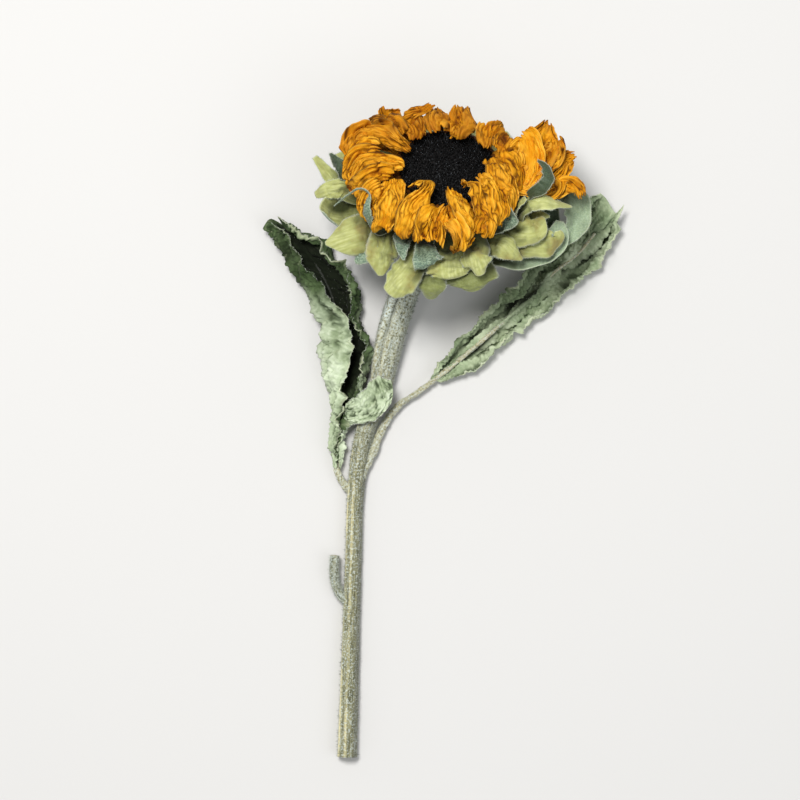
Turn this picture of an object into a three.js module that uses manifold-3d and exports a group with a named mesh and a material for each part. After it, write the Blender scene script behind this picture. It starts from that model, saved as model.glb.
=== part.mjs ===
// A cut and dried sunflower lying on a table: stalk, two leaves, and a head with
// green bracts, curled yellow ray petals and a dark seed disc.
// Millimetres, +Z up, z = 0 on the table, +Y from the cut end towards the head.
import * as THREE from "three";
import { mergeVertices } from "three/addons/utils/BufferGeometryUtils.js";
import Module from "manifold-3d";

const wasm = await Module();
wasm.setup();

// Driving dimensions
const middle = { x: 21.9, y: -17 }; // middle of the plant's box, moved over the origin
const head = { x: 23.3, y: 114, z: 55.6, elevation: 53, heading: 2 }; // disc centre, axis in degrees
const disc = {
  radius: 23.4, dome: 1.6, foot: -3.7, edge: -0.4, rings: 7, spokes: 42,
  floretHeight: 0.9, leftSpirals: 21, leftTurn: 2.1, rightSpirals: 13, rightTurn: 2.4,
};
const collar = { inner: 23.9, outer: 27.2, bottom: -3.7, top: -1.4, segments: 30 };
const cup = { neck: 7.2, neckHeight: -24, rim: 27.4, rimHeight: -4, rings: 5, segments: 22 };
const petal = {
  root: 25.4, rootHeight: -2.5, rootWidth: 3.2,
  lowPoint: 0.55, lowHeight: -1.2, lowRoll: 0.3, firstRoll: 0.6,
  thickness: 0.8, along: 6, across: 2, shingle: 9, gutter: 0.26, pleat: 0.7,
  pleatTurn: 2.6,
};
const bract = {
  root: 22, rootWidth: 8, thickness: 0.9, along: 5, across: 2,
  farAlong: 4, drift: 6, farCup: 0.2,
};
const leaf = {
  thickness: 0.9, along: 23, across: 4, wave: 1.1, waves: 9, midribSides: 7, midribSteps: 20,
};
const stalk = { sides: 14, steps: 29 };
const lobe = { along: 9, across: 4, wave: 0.6, waves: 3 };
const stub = { radius: 2.3, sides: 8, steps: 8 };
const slab = { width: 600, depth: 40 };
const gap = 0.35; // clearance between neighbouring pieces

// Stalk centre line with its radius, from the cut end to the neck under the head
const stalkPath = [
  [-27.0, -181.5, 4.5, 4.9],
  [-25.9, -147.5, 4.1, 4.5],
  [-24.9, -112.0, 3.9, 4.2],
  [-23.9, -81.5, 3.8, 4.1],
  [-23.0, -52.0, 3.7, 4.0],
  [-20.8, -30.5, 4.2, 4.4],
  [-17.3, -14.2, 5.0, 4.7],
  [-10.8, 3.5, 6.4, 5.3],
  [-6.2, 25.4, 8.6, 6.6],
  [-0.8, 44.0, 11.8, 6.3],
  [3.6, 56.0, 14.6, 6.1],
  [10.0, 70.0, 17.6, 6.1],
  [18.4, 84.5, 23.6, 6.4],
  [22.6, 94.2, 29.4, 6.7],
  [22.8, 99.2, 36.0, 6.9],
];

// Cut end of a leaf stalk, standing off the left side
const stubPath = [
  [-33.2, -79.0, 6.4],
  [-33.6, -86.5, 5.6],
  [-32.8, -93.5, 5.0],
  [-30.2, -99.0, 4.4],
  [-26.0, -103.5, 4.0],
];

// One row for each petal: azimuth of its root on the collar, kind, roll about its line in degrees, and
// points of x and y seen from above, height over the disc plane and half width. Most curl out and back
// over the disc; a flared one goes straight on. Azimuth 0 points right, 90 to the far side, 180 left and
// 270 to the near side.
const petalRows = [
  [232, "curled", 12, [[-9.6, 81.9, 1, 5], [-6.7, 90, 9, 7], [-4.8, 99, 12, 7], [-3.9, 107.3, 8, 6],
    [-3, 107, 3.5, 3]]],
  [245, "curled", 20, [[1.9, 78.5, 0, 6], [3.4, 85.7, 6, 7.5], [6.3, 93.9, 10.5, 6.8], [12, 99.3, 12, 5],
    [14, 104.5, 10, 3.8], [9.7, 104.8, 8.5, 3], [3.9, 102, 7, 2]]],
  [255, "curled", 5, [[10.1, 76.6, -1, 5], [11.5, 82.7, 5, 6], [13.5, 89, 9, 5.5], [17.4, 93, 8, 4],
    [19.2, 92, 5, 1.5]]],
  [262, "curled", 6, [[17.3, 75.6, -1, 4], [17.8, 82.8, 4.5, 5], [19.3, 89.6, 7, 4.8], [22.2, 93.8, 5, 2.4]]],
  [268, "flared", 8, [[21.8, 92.4, 3, 4], [24, 85.6, 7, 5.6], [27, 79.3, 5, 4.8], [26.6, 74.1, -1, 3.2],
    [23.6, 70.4, -4, 2]]],
  [282, "curled", -6, [[32.3, 73.7, -1, 4.4], [34.1, 78.8, 4, 6], [33.6, 86.4, 9.5, 6.8], [29.3, 94.3, 13, 6],
    [25.6, 99.3, 12.5, 4.6], [23.2, 104.5, 9, 2.4]]],
  [297, "curled", -6, [[39, 79, 0, 5], [41.4, 87.6, 7, 6.5], [39.5, 96.4, 12, 5.6], [37.7, 102.8, 13.5, 5.2],
    [32.9, 106.6, 11, 4.2], [29, 102.8, 8, 2.6]]],
  [303, "curled", -20, [[43.5, 80.2, -1, 4.2], [45.3, 87.7, 5, 5.4], [44.3, 95, 9, 5], [42, 100, 8.5, 3]]],
  [308, "curled", -40, [[46.4, 84.1, 0, 5.2], [48.7, 91.6, 6, 7], [46.8, 99.9, 11, 7.6], [43.5, 106, 12, 6.8],
    [39.9, 110.5, 7.5, 5.4]]],
  [318, "curled", -56, [[52.5, 91.4, -2, 5.2], [53, 98.5, 4, 6.8], [50.6, 106.2, 10, 7.2],
    [48.1, 113.7, 12, 6.6], [46.5, 121.3, 8, 5.4]]],
  [335, "curled", -66, [[59.2, 102.2, -2, 5], [58.5, 108.2, 4, 6.6], [56.6, 114.6, 9, 6.8],
    [54.3, 120.7, 10, 6],
    [51, 124.5, 8, 6]]],
  [344, "curled", 40, [[62.7, 105.8, -2, 5], [64.6, 113.6, 3, 7], [65.2, 121.5, 8, 7.6],
    [63.2, 128.9, 12, 6.4],
    [59.3, 130.9, 11, 5]]],
  [358, "flared", 34, [[59.1, 115.2, -1, 6.5], [66.5, 120.4, 4, 9.4], [69.4, 128.7, 9, 8.6],
    [71.8, 134.6, 12, 5],
    [73.4, 139.6, 14, 2]]],
  [0, "flared", 36, [[66.4, 112.1, -2, 5], [72, 116.4, 2, 6.4], [76, 121.7, 6, 6.6], [77, 127, 9, 5],
    [75.4, 131, 11, 2]]],
  [345, "flared", 30, [[72.4, 102.8, -2, 5], [76.4, 109.7, 1, 6.4], [79.9, 116.1, 4, 6], [83.4, 120.1, 6, 4],
    [86.8, 121.1, 6, 2.4]]],
  [340, "flared", 30, [[68, 101, -4, 4.4], [74.9, 102.9, -3, 5], [81.9, 105.9, -2, 5.4],
    [87.2, 103.9, -3, 4.8],
    [88.6, 98.9, -5, 2.6]]],
  [20, "curled", 0, [[56.8, 126.8, 4, 5.6], [53, 129.7, 10, 7], [50.4, 125.7, 12, 6.6],
    [48.9, 120.8, 9, 4.4]]],
  [40, "curled", 0, [[48, 134.6, 4, 6], [44.8, 135, 10, 7], [42.2, 129.9, 12, 6.4], [42.2, 123.7, 7, 3.2]]],
  [10, "curled", -20, [[62.6, 123.2, 2, 4.6], [59.4, 127.2, 8, 5.4], [56.8, 125.9, 10, 4.8],
    [54.3, 123, 9, 3]]],
  [70, "curled", -26, [[31.5, 141, 4, 4.5], [30, 143.5, 10, 5], [28.5, 138, 12.5, 8], [27, 132, 10.5, 8],
    [26.3, 127.5, 6.5, 5.5]]],
  [98, "curled", -8, [[16.5, 142, 3, 4.4], [17.4, 143.5, 8, 5], [17.6, 138.5, 10.5, 7],
    [17.4, 131.5, 8.5, 7.4]]],
  [118, "curled", 45, [[4, 138.7, 3, 4.2], [5.4, 141, 9, 4.6], [11.4, 143, 12, 3.4], [17.6, 146, 14, 1.6]]],
  [121, "curled", -16, [[4.5, 139.5, 3, 5], [5.9, 139.2, 10, 6.2], [7.4, 133.1, 12, 6.2],
    [7.4, 126.8, 7, 4.6]]],
  [131, "flared", -20, [[-4.5, 134, -2, 5.6], [-5.6, 139, 1, 6.6], [-5.8, 143, 5, 7], [-5.6, 146, 7.5, 6.4]]],
  [146, "curled", 26, [[-14.9, 132.7, 3, 6], [-9.4, 135, 10, 7.4], [-2.9, 133.5, 13, 7], [1.5, 129, 10, 5]]],
  [154, "curled", 16, [[-19.8, 128.5, 2, 6], [-12.8, 131.2, 10, 7], [-5.9, 128.7, 13, 6.4],
    [0, 124.9, 10, 4.4],
    [6.4, 121.2, 6, 1]]],
  [152, "flared", 0, [[-11.5, 130, 4, 5.6], [-17, 132, 9, 6], [-22.4, 128.6, 8, 5.8], [-24.2, 122.6, 4, 5.2],
    [-24.6, 116.5, -1, 3.4]]],
  [176, "curled", 48, [[-25, 112, -1, 5], [-25, 118.7, 5, 5], [-21, 123.7, 11, 5.6], [-15.6, 125.1, 13, 5.4],
    [-10.2, 122, 11, 4]]],
  [186, "curled", 50, [[-24, 106.7, 0, 4.6], [-24.5, 113.4, 6, 5], [-21, 118, 12, 5.2],
    [-14.6, 119.6, 13.5, 5], [-6.8, 119.4, 10, 3.4]]],
  [192, "curled", 36, [[-23.5, 104.2, -1, 5.4], [-21.5, 109.7, 6, 5.8], [-16, 114.4, 12, 6.2],
    [-7.8, 116, 13, 6], [-1.5, 114.6, 9, 4.6], [0, 112.4, 6, 3]]],
  [203, "curled", 38, [[-21.9, 97.5, -1, 5.4], [-19.4, 103, 6, 6.2], [-14.1, 107.6, 12, 6.4],
    [-7.3, 109.6, 12.5, 6],
    [-1.9, 109.1, 8, 3]]],
  [217, "curled", 40, [[-18, 91.4, -1, 4.6], [-16.5, 96.9, 6, 5.4], [-13, 101.5, 11, 5.6],
    [-8.2, 104.5, 9, 4]]],
  [225, "curled", 38, [[-14.1, 86.3, -1, 4.4], [-12.1, 92.9, 5, 5], [-9.2, 100, 8, 4]]],
];

// One row for each bract: azimuth and height of its root on the cup, how far its edges bend up, and points
// of x, y, z, half width and roll in degrees
const bractRows = [
  [170, -14, 0.2, [[-20.8, 104.2, 41, 4.5, 0], [-29.8, 107.6, 42, 4.8, -10], [-36.7, 114.1, 43, 3, -20],
    [-42.2, 120.5, 45, 1.4, -30]]],
  [160, -12, 0.3, [[-21.8, 110.8, 46, 3.5, 0], [-29.2, 113.8, 48, 4.6, 20], [-33, 119.5, 47, 2.2, 30],
    [-34.5, 122, 46, 0.6, 30]]],
  [182, -13, -0.3, [[-19.8, 101, 45, 5, -10], [-28.2, 104.4, 48, 5.2, -20], [-35.6, 103.9, 47, 4.4, -20],
    [-42.1, 101.5, 42, 1.6, -10]]],
  [191, -17, 0.75, [[-15.8, 94.5, 38, 7, 0], [-24, 92, 36, 9.5, 5], [-33, 91.5, 40, 8.6, 12],
    [-39.8, 95.5, 46, 4.5, 20]]],
  [215, -10, 0.35, [[-9.5, 81, 70, 1.5, 0], [-15.2, 86.5, 74, 4.4, 15], [-17, 92, 78, 3.8, 20],
    [-15.5, 98.5, 81, 1.8, 20], [-19, 101.8, 81, 1.1, 10], [-25, 99.5, 76, 0.8, 0],
    [-32, 94.5, 68, 0.4, 0]]],
  [208, -14, -0.4, [[-11.5, 85.5, 57, 8, 0], [-19, 82.8, 60, 9.6, 0], [-27.5, 80, 58.5, 9.2, 5],
    [-36.8, 77.1, 54, 1, 10]]],
  [225, -18, 0.2, [[-12.7, 76.4, 56, 4.5, 0], [-18.1, 70.6, 58, 4.5, 20], [-22, 67.6, 56, 0.8, 40]]],
  [238, -13, -0.4, [[-4, 81.5, 63, 7.5, 0], [-6.8, 74.5, 68, 9, -5], [-7.8, 68, 69, 8, -5],
    [-9.3, 60.5, 66, 1.4, 0]]],
  [245, -8, 0.3, [[1, 78.7, 68, 4, 0], [0.8, 74.5, 72, 3.6, 15], [1.8, 68, 72.5, 0.4, 30]]],
  [250, -17, -0.4, [[8, 70.5, 64, 7, 0], [3.5, 62.5, 69, 8.4, 8], [-1.5, 56.5, 69.5, 7.8, 8],
    [-5.5, 51.5, 66, 4, 0]]],
  [259, -8, -0.2, [[12.6, 78.6, 69, 4.5, 0], [13, 73.2, 74, 5.8, 0], [13.6, 67.5, 74.5, 7.4, 5],
    [14, 65.8, 73, 7.2, 5], [14.2, 67.5, 71.5, 5, 0]]],
  [266, -19, -0.5, [[16.6, 65.9, 61, 5.5, 0], [15.6, 58.5, 66, 6.4, 10], [15.6, 53.2, 66, 5.9, 10],
    [15.6, 49.3, 61, 2.6, 0]]],
  [272, -14, -0.25, [[25, 74, 65, 9, 0], [25, 67, 69.5, 12, -4], [25.5, 62, 69, 11.4, -4],
    [26, 59.2, 66.5, 7, -4]]],
  [286, -19, -0.4, [[33, 72, 58, 9, 0], [34.5, 62, 63, 12.8, 0], [35.5, 56, 63, 10.8, 5],
    [36.5, 53.2, 60, 4.5, 5]]],
  [291, -11, -0.7, [[36.5, 77.8, 68, 6, 0], [35.3, 71, 74.5, 7.4, 0], [36.8, 65.2, 76, 6.4, 10],
    [38.6, 60.2, 73, 2.4, 10]]],
  [311, -13, -0.5, [[42.1, 79.2, 60, 7, 0], [49.5, 77, 64.5, 7.4, 0], [55, 73, 65, 5.2, 0],
    [60, 68.8, 61, 0.8, 0]]],
  [324, -15, -0.3, [[52, 86, 57, 8, 0], [60, 83.5, 61, 9, 0], [66.5, 84.5, 62, 6.8, 0],
    [70.2, 89.8, 60.5, 0.8, 0]]],
  [320, -17, -0.3, [[54, 80, 53, 8, 0], [63, 77.5, 58, 8, 0], [71.5, 77, 58.5, 6.8, 8],
    [77.6, 79.5, 57, 4, 30], [77.5, 83, 58.5, 1.5, 50]]],
  [308, -21, 0.25, [[40, 74, 51, 4.5, 0], [50, 71, 52, 6, 0], [60, 70.5, 51, 6.8, 0], [70, 74, 49.5, 7.4, 0],
    [77, 80, 48.5, 6.8, 0], [79, 88.5, 47, 2, 0]]],
  [342, -12, -0.45, [[56.5, 92.3, 58, 5, 0], [63.5, 97.5, 65, 5.8, -12], [72.3, 98, 66, 5.2, -15],
    [84.4, 94.9, 58, 0.6, -10]]],
  [332, -10, -0.3, [[54.5, 91, 61, 3.4, 0], [57.5, 95.5, 66, 3.8, 0], [61, 99, 67.5, 2, 0]]],
  [338, -15, 0.1, [[60, 89, 53, 3.8, 0], [67, 90.5, 56, 3.6, 0], [73.5, 90, 57, 0.5, 0]]],
  [334, -8, 0.3, [[43.9, 82.9, 64, 2.5, 20], [50.2, 84.4, 68, 3.5, 40], [54.6, 88.8, 71, 4.5, 60],
    [52.7, 94.1, 75, 0.6, 60]]],
  [350, -9, 0.3, [[59.5, 99.6, 60, 2.2, 0], [64.5, 100.6, 66, 3, 10], [69.8, 103, 69.5, 3.4, 20],
    [72.6, 108, 71, 3.2, 20], [71.2, 113.4, 71, 2.4, 10], [67, 116.8, 69, 0.6, 0]]],
  [350, -14, 0.25, [[74, 104, 47, 4.5, 0], [84, 101, 45, 6.8, 0], [87.5, 91.5, 43, 7, 0],
    [84, 82, 43.5, 4.6, 0], [81.5, 77.5, 45, 1.5, 0]]],
  [334, -21, 0.1, [[57, 92, 44, 10, 0], [68, 92, 41, 11, 0], [79, 93, 40, 6, 0]]],
];

// One row for each bract behind the head: azimuth, root height, tip radius, tip height, belly height,
// half width and roll
const farBractRows = [
  [14, -16, 66, -24, -20, 10, 10], [31, -15, 61, -25, -21, 9, -10], [50, -16, 58, -27, -21, 10, 5],
  [68, -14, 57.5, -27.4, -19, 9, 10], [85, -16, 57, -27.2, -21, 9.5, -5], [101, -14, 57, -27.4, -20, 9, 5],
  [118, -16, 57.4, -27, -21, 9.5, 8], [135, -14, 59, -25, -20, 9, -8], [151, -15, 62, -20, -19, 7.5, -20],
];

// Rails of each leaf: edge, half way, midrib or underside, half way, edge; points from base to tip
const rightLeafRails = [
  [[15.5, 11, 7], [24.5, 23.5, 10], [37.5, 37.5, 13], [49.5, 49.5, 13], [60, 59.5, 12], [72, 71, 13],
    [82, 84, 15], [91, 97, 16], [101.5, 104.5, 13]],
  [[16, 10.5, 6], [27, 21.5, 5], [40.5, 34, 5], [53.5, 45.5, 5], [64, 55, 5], [75, 68, 5],
    [86, 79, 7], [94, 91, 9], [104.5, 102, 10]],
  [[17.5, 10, 5.4], [29, 19.5, 5.5], [44, 32, 6.5], [56, 43, 7], [68, 54, 7], [78.5, 65, 7],
    [90, 74, 8], [99, 84.5, 9], [109, 95, 10]],
  [[19, 9.5, 5], [31.5, 17.5, 3], [48, 28, 1.6], [61, 40, 0.4], [73.5, 51, 0.2], [84, 62, 0.2],
    [95, 71, 1], [104, 81, 4], [111.5, 96.5, 9]],
  [[20.5, 9, 6], [34, 16, 8], [51, 27.5, 9], [66, 40, 8], [79.5, 50.5, 8], [92, 61, 8],
    [103, 72, 8], [109.5, 83.5, 9], [113.5, 99, 10]],
];
const rightStalkPath = [
  [-19.5, -39, 4.4, 2.0],
  [-14.5, -27.5, 4.4, 2.0],
  [-9.6, -16, 4.4, 1.9],
  [-4.8, -7.5, 4.2, 1.8],
  [1, -1.5, 4.4, 1.7],
  [8.5, 3.5, 4.8, 1.7],
  [17, 10, 5.2, 1.6],
  [29, 19.5, 5.5, 1.4],
  [44, 32, 6.5, 1.3],
  [56, 43, 7, 1.2],
  [68, 54, 7, 1.1],
  [78.5, 65, 7, 1.0],
  [90, 74, 8, 0.9],
  [99, 84.5, 9, 0.8],
];
const leftLeafRails = [
  [[-32.5, -35, 7.4], [-31.5, -20.5, 11], [-29, -6, 14], [-28.5, 7.5, 16], [-23.5, 24.5, 17.5],
    [-26.5, 39.5, 17],
    [-38, 53.5, 15], [-48.5, 67.5, 13], [-56, 81.5, 12], [-65.5, 90, 11]],
  [[-34, -34, 5.8], [-35.5, -19.5, 6.5], [-34, -5, 7.5], [-37, 9.5, 8.5], [-39.5, 25.5, 9], [-41, 39, 8.5],
    [-47, 53, 8], [-56.5, 69, 7.5], [-64, 80, 7.5], [-69.5, 87, 8]],
  [[-32.5, -35, 4], [-33, -20.5, 1.5], [-31, -6, 0.5], [-31, 7.5, 0.3], [-28.5, 25.5, 0.3], [-32, 42, 0.4],
    [-36, 56.5, 0.5], [-44, 71, 1.2], [-55.5, 84, 3.4], [-66, 92, 6]],
  [[-30.5, -35, 5.6], [-30, -21.5, 5], [-26, -7, 5], [-20, 5.5, 6], [-15, 23, 7], [-20.5, 42, 6.5],
    [-21, 51.5, 7.5], [-29.5, 66, 7], [-42.5, 81, 6.5], [-60, 89, 7]],
  [[-31, -34, 7.2], [-30.5, -20.5, 9.4], [-27, -5.5, 11], [-19, 10.5, 13], [-16.5, 28, 14.5], [-24, 45, 13],
    [-24, 57.5, 12.5], [-32, 71, 11], [-47.5, 85, 11], [-62, 93, 10]],
];
const leftStalkPath = [
  [-24.5, -48, 4.0, 1.7],
  [-29, -42, 4.4, 1.7],
  [-32, -35.5, 5.0, 1.6],
  [-33, -20.5, 2.6, 1.4],
  [-31, -6, 1.3, 1.2],
  [-31, 7.5, 0.9, 1.15],
  [-28.5, 25.5, 0.8, 1.1],
  [-32, 42, 0.8, 1],
  [-36, 56.5, 0.9, 0.9],
  [-44, 71, 1.6, 0.8],
];
// Base lobe of the left leaf, bent up over the stalk
const lobeRails = [
  [[-30, -13.5, 8], [-20, -12, 12.6], [-12, -10, 15.2], [-4.5, -1.5, 15.6]],
  [[-29, -8, 9], [-18.5, -6, 14], [-9.5, -2, 16.8], [-3.5, 4, 16.6]],
  [[-27.5, -2, 11], [-19.5, 4.5, 15.2], [-13, 11, 17], [-4.5, 10, 16.4]],
];

const radians = THREE.MathUtils.degToRad;
const axis = new THREE.Vector3(
  Math.sin(radians(head.heading)) * Math.cos(radians(head.elevation)),
  Math.cos(radians(head.heading)) * Math.cos(radians(head.elevation)),
  Math.sin(radians(head.elevation)),
);
const across = new THREE.Vector3(1, 0, 0).addScaledVector(axis, -axis.x).normalize();
const behind = axis.clone().cross(across);
const discCentre = new THREE.Vector3(head.x, head.y, head.z);
const upward = new THREE.Vector3(0, 0, 1);

// A repeatable draw from 0 to 1 for the given row and purpose
function draw(row, purpose) {
  const value = Math.sin(row * 12.9898 + purpose * 78.233) * 43758.5453;
  return value - Math.floor(value);
}

function vectors(points) {
  return points.map((p) => new THREE.Vector3(p[0], p[1], p[2]));
}

function smoothCurve(points) {
  return new THREE.CatmullRomCurve3(points, false, "catmullrom", 0.5);
}

function onHead(radius, azimuth, height) {
  return discCentre
    .clone()
    .addScaledVector(across, radius * Math.cos(azimuth))
    .addScaledVector(behind, radius * Math.sin(azimuth))
    .addScaledVector(axis, height);
}

// The place at a height over the disc's plane that lies above x and y on the table
function seenAt(x, y, height) {
  const far = (y - discCentre.y - height * axis.y) / behind.y;
  return discCentre
    .clone()
    .addScaledVector(across, x - discCentre.x - height * axis.x)
    .addScaledVector(behind, far)
    .addScaledVector(axis, height);
}

// A closed three.js geometry as a solid
function solidOf(geometry) {
  const plain = geometry.clone();
  plain.deleteAttribute("normal");
  plain.deleteAttribute("uv");
  const merged = mergeVertices(plain, 1e-4);
  const mesh = new wasm.Mesh({
    numProp: 3,
    vertProperties: new Float32Array(merged.attributes.position.array),
    triVerts: new Uint32Array(merged.index.array),
  });
  return new wasm.Manifold(mesh);
}

function gridGeometry(points, faces) {
  const geometry = new THREE.BufferGeometry().setFromPoints(points);
  geometry.setIndex(faces);
  return geometry;
}

// Normals of a grid of points, from the steps to its neighbours
function gridNormals(grid) {
  const last = grid.length - 1;
  return grid.map((row, i) =>
    row.map((point, j) => {
      const alongStep = grid[Math.min(i + 1, last)][j].clone().sub(grid[Math.max(i - 1, 0)][j]);
      const acrossStep = row[Math.min(j + 1, row.length - 1)].clone().sub(row[Math.max(j - 1, 0)]);
      return alongStep.cross(acrossStep).normalize();
    }),
  );
}

// Points of surface(u, v), u along from 0 to 1 and v across from -1 to 1
function surfaceGrid(surface, alongSteps, acrossSteps) {
  const grid = [];
  for (let i = 0; i <= alongSteps; i++) {
    const row = [];
    for (let j = 0; j <= acrossSteps; j++) row.push(surface(i / alongSteps, (2 * j) / acrossSteps - 1));
    grid.push(row);
  }
  return grid;
}

// A closed blade with a wall on both sides of a grid of points
function bladeSolid(grid, thickness) {
  const alongSteps = grid.length - 1;
  const acrossSteps = grid[0].length - 1;
  const normals = gridNormals(grid);
  const columns = acrossSteps + 1;
  const count = (alongSteps + 1) * columns;
  const points = [];
  for (const side of [0.5, -0.5])
    grid.forEach((row, i) =>
      row.forEach((point, j) => points.push(point.clone().addScaledVector(normals[i][j], side * thickness))),
    );
  const faces = [];
  for (let i = 0; i < alongSteps; i++)
    for (let j = 0; j < acrossSteps; j++) {
      const a = i * columns + j;
      const b = a + columns;
      faces.push(a, b, b + 1, a, b + 1, a + 1);
      faces.push(count + a, count + b + 1, count + b, count + a, count + a + 1, count + b + 1);
    }
  const rim = [];
  for (let j = 0; j < acrossSteps; j++) rim.push([j, j + 1]);
  for (let i = 0; i < alongSteps; i++) rim.push([i * columns + acrossSteps, (i + 1) * columns + acrossSteps]);
  for (let j = acrossSteps; j > 0; j--) rim.push([alongSteps * columns + j, alongSteps * columns + j - 1]);
  for (let i = alongSteps; i > 0; i--) rim.push([i * columns, (i - 1) * columns]);
  for (const [a, b] of rim) faces.push(a, b, count + b, a, count + b, count + a);
  return outwardSolid(gridGeometry(points, faces));
}

// The geometry as a solid, its faces turned over if they point inward
function outwardSolid(geometry) {
  const solid = solidOf(geometry);
  if (solid.volume() > 0) return solid;
  const index = geometry.index.array;
  for (let i = 0; i < index.length; i += 3) [index[i + 1], index[i + 2]] = [index[i + 2], index[i + 1]];
  return solidOf(geometry);
}

// A closed round bar along a path of [x, y, z, radius], its section scaled by section(angle, u)
function barSolid(path, sides, steps, section) {
  const curve = smoothCurve(vectors(path));
  const radii = smoothCurve(path.map((p) => new THREE.Vector3(p[3], 0, 0)));
  const points = [];
  for (let i = 0; i <= steps; i++) {
    const u = i / steps;
    const centre = curve.getPoint(u);
    const forward = curve.getTangent(u);
    const side = new THREE.Vector3(1, 0, 0).addScaledVector(forward, -forward.x).normalize();
    const up = side.clone().cross(forward);
    const radius = radii.getPoint(u).x;
    for (let j = 0; j < sides; j++) {
      const angle = (2 * Math.PI * j) / sides;
      const reach = radius * section(angle, u);
      const place = centre.clone().addScaledVector(side, reach * Math.cos(angle));
      points.push(place.addScaledVector(up, reach * Math.sin(angle)));
    }
  }
  const start = points.length;
  points.push(curve.getPoint(0), curve.getPoint(1));
  const faces = [];
  for (let j = 0; j < sides; j++) {
    const next = (j + 1) % sides;
    for (let i = 0; i < steps; i++) {
      const a = i * sides + j;
      const b = i * sides + next;
      faces.push(a, b, b + sides, a, b + sides, a + sides);
    }
    faces.push(start, next, j, start + 1, steps * sides + j, steps * sides + next);
  }
  return outwardSolid(gridGeometry(points, faces));
}

// A round solid of revolution about the head's axis, from a profile of [radius, height]
function headLathe(profile, segments) {
  const outline = profile.map((p) => new THREE.Vector2(p[0], p[1]));
  const geometry = new THREE.LatheGeometry(outline, segments);
  const place = new THREE.Matrix4().makeBasis(across, axis, behind.clone().negate());
  geometry.applyMatrix4(place.setPosition(discCentre));
  return outwardSolid(geometry);
}

function fuse(solids) {
  return largestBody(wasm.Manifold.union(solids));
}

function largestBody(solid) {
  const bodies = solid.decompose();
  return bodies.reduce((best, body) => (body.volume() > best.volume() ? body : best));
}

// A ribbon through stations of place, half width and roll in degrees. Its side direction starts square to
// the level direction, is carried along the line without turning and is rolled about it; lift(v, halfWidth,
// u) raises it off the line.
function ribbonGrid(stations, level, alongSteps, acrossSteps, lift) {
  const fineSteps = 6;
  const line = smoothCurve(stations.map((station) => station.place));
  const sizes = smoothCurve(stations.map((station) => new THREE.Vector3(station.halfWidth, station.roll, 0)));
  const carried = level.clone().cross(line.getTangent(0));
  const grid = [];
  for (let step = 0; step <= alongSteps * fineSteps; step++) {
    const u = step / (alongSteps * fineSteps);
    const forward = line.getTangent(u);
    carried.addScaledVector(forward, -carried.dot(forward)).normalize();
    if (step % fineSteps > 0) continue;
    const { x: halfWidth, y: roll } = sizes.getPoint(u);
    const side = carried.clone().applyAxisAngle(forward, radians(roll));
    const up = forward.clone().cross(side);
    const row = [];
    for (let j = 0; j <= acrossSteps; j++) {
      const v = (2 * j) / acrossSteps - 1;
      const place = line.getPoint(u).addScaledVector(side, v * halfWidth);
      row.push(place.addScaledVector(up, lift(v, halfWidth, u)));
    }
    grid.push(row);
  }
  return grid;
}

// A petal leaves the collar, dips outward first where it is curled, and runs on through its own points
function petalStations([azimuth, kind, roll, points]) {
  const { root, rootHeight, rootWidth, lowPoint, lowHeight, shingle } = petal;
  const rootPlace = onHead(root, radians(azimuth), rootHeight);
  const own = points.map(([x, y, height, halfWidth], index) => ({
    place: seenAt(x, y, height),
    halfWidth,
    roll: shingle + roll * (index === 0 ? petal.firstRoll : 1),
  }));
  const stations = [{ place: rootPlace, halfWidth: rootWidth, roll: shingle }];
  if (kind === "curled")
    stations.push({
      place: rootPlace.clone().lerp(own[0].place, lowPoint).addScaledVector(axis, lowHeight),
      halfWidth: (rootWidth + own[0].halfWidth) / 2,
      roll: shingle + roll * petal.lowRoll,
    });
  return [...stations, ...own];
}

// Extra makes a petal thicker and wider by so much on every side
function petalSolid(row, index, extra) {
  const phase = 2 * Math.PI * draw(index, 2);
  const lift = (v, halfWidth, u) => {
    const pleat = Math.cos(petal.pleatTurn * v + phase) * Math.sin(Math.PI * u);
    return petal.gutter * halfWidth * v * v + petal.pleat * pleat;
  };
  const stations = petalStations(row);
  for (const station of stations) station.halfWidth += extra;
  return bladeSolid(ribbonGrid(stations, axis, petal.along, petal.across, lift), petal.thickness + 2 * extra);
}

function bractSolid([azimuth, rootHeight, cupping, points], alongSteps) {
  const stations = [
    { place: onHead(bract.root, radians(azimuth), rootHeight), halfWidth: bract.rootWidth, roll: 0 },
    ...points.map(([x, y, z, halfWidth, roll]) => ({ place: new THREE.Vector3(x, y, z), halfWidth, roll })),
  ];
  const lift = (v, halfWidth) => cupping * halfWidth * v * v;
  return bladeSolid(ribbonGrid(stations, upward, alongSteps, bract.across, lift), bract.thickness);
}

// A bract behind the head runs out from the cup to its tip and sinks to its belly on the way
function farBractSolid([azimuth, rootHeight, tipRadius, tipHeight, belly, width, roll], index) {
  const cupping = index % 2 === 0 ? bract.farCup : -bract.farCup;
  const reach = tipRadius - bract.root;
  const points = [
    [0.35, belly, 0.95],
    [0.72, belly + 0.55 * (tipHeight - belly), 0.9],
    [1, tipHeight, 0.08],
  ].map(([part, height, share]) => {
    const place = onHead(bract.root + part * reach, radians(azimuth + bract.drift * part), height);
    return [place.x, place.y, place.z, share * width, roll * part];
  });
  return bractSolid([azimuth, rootHeight, cupping, points], bract.farAlong);
}

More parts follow.
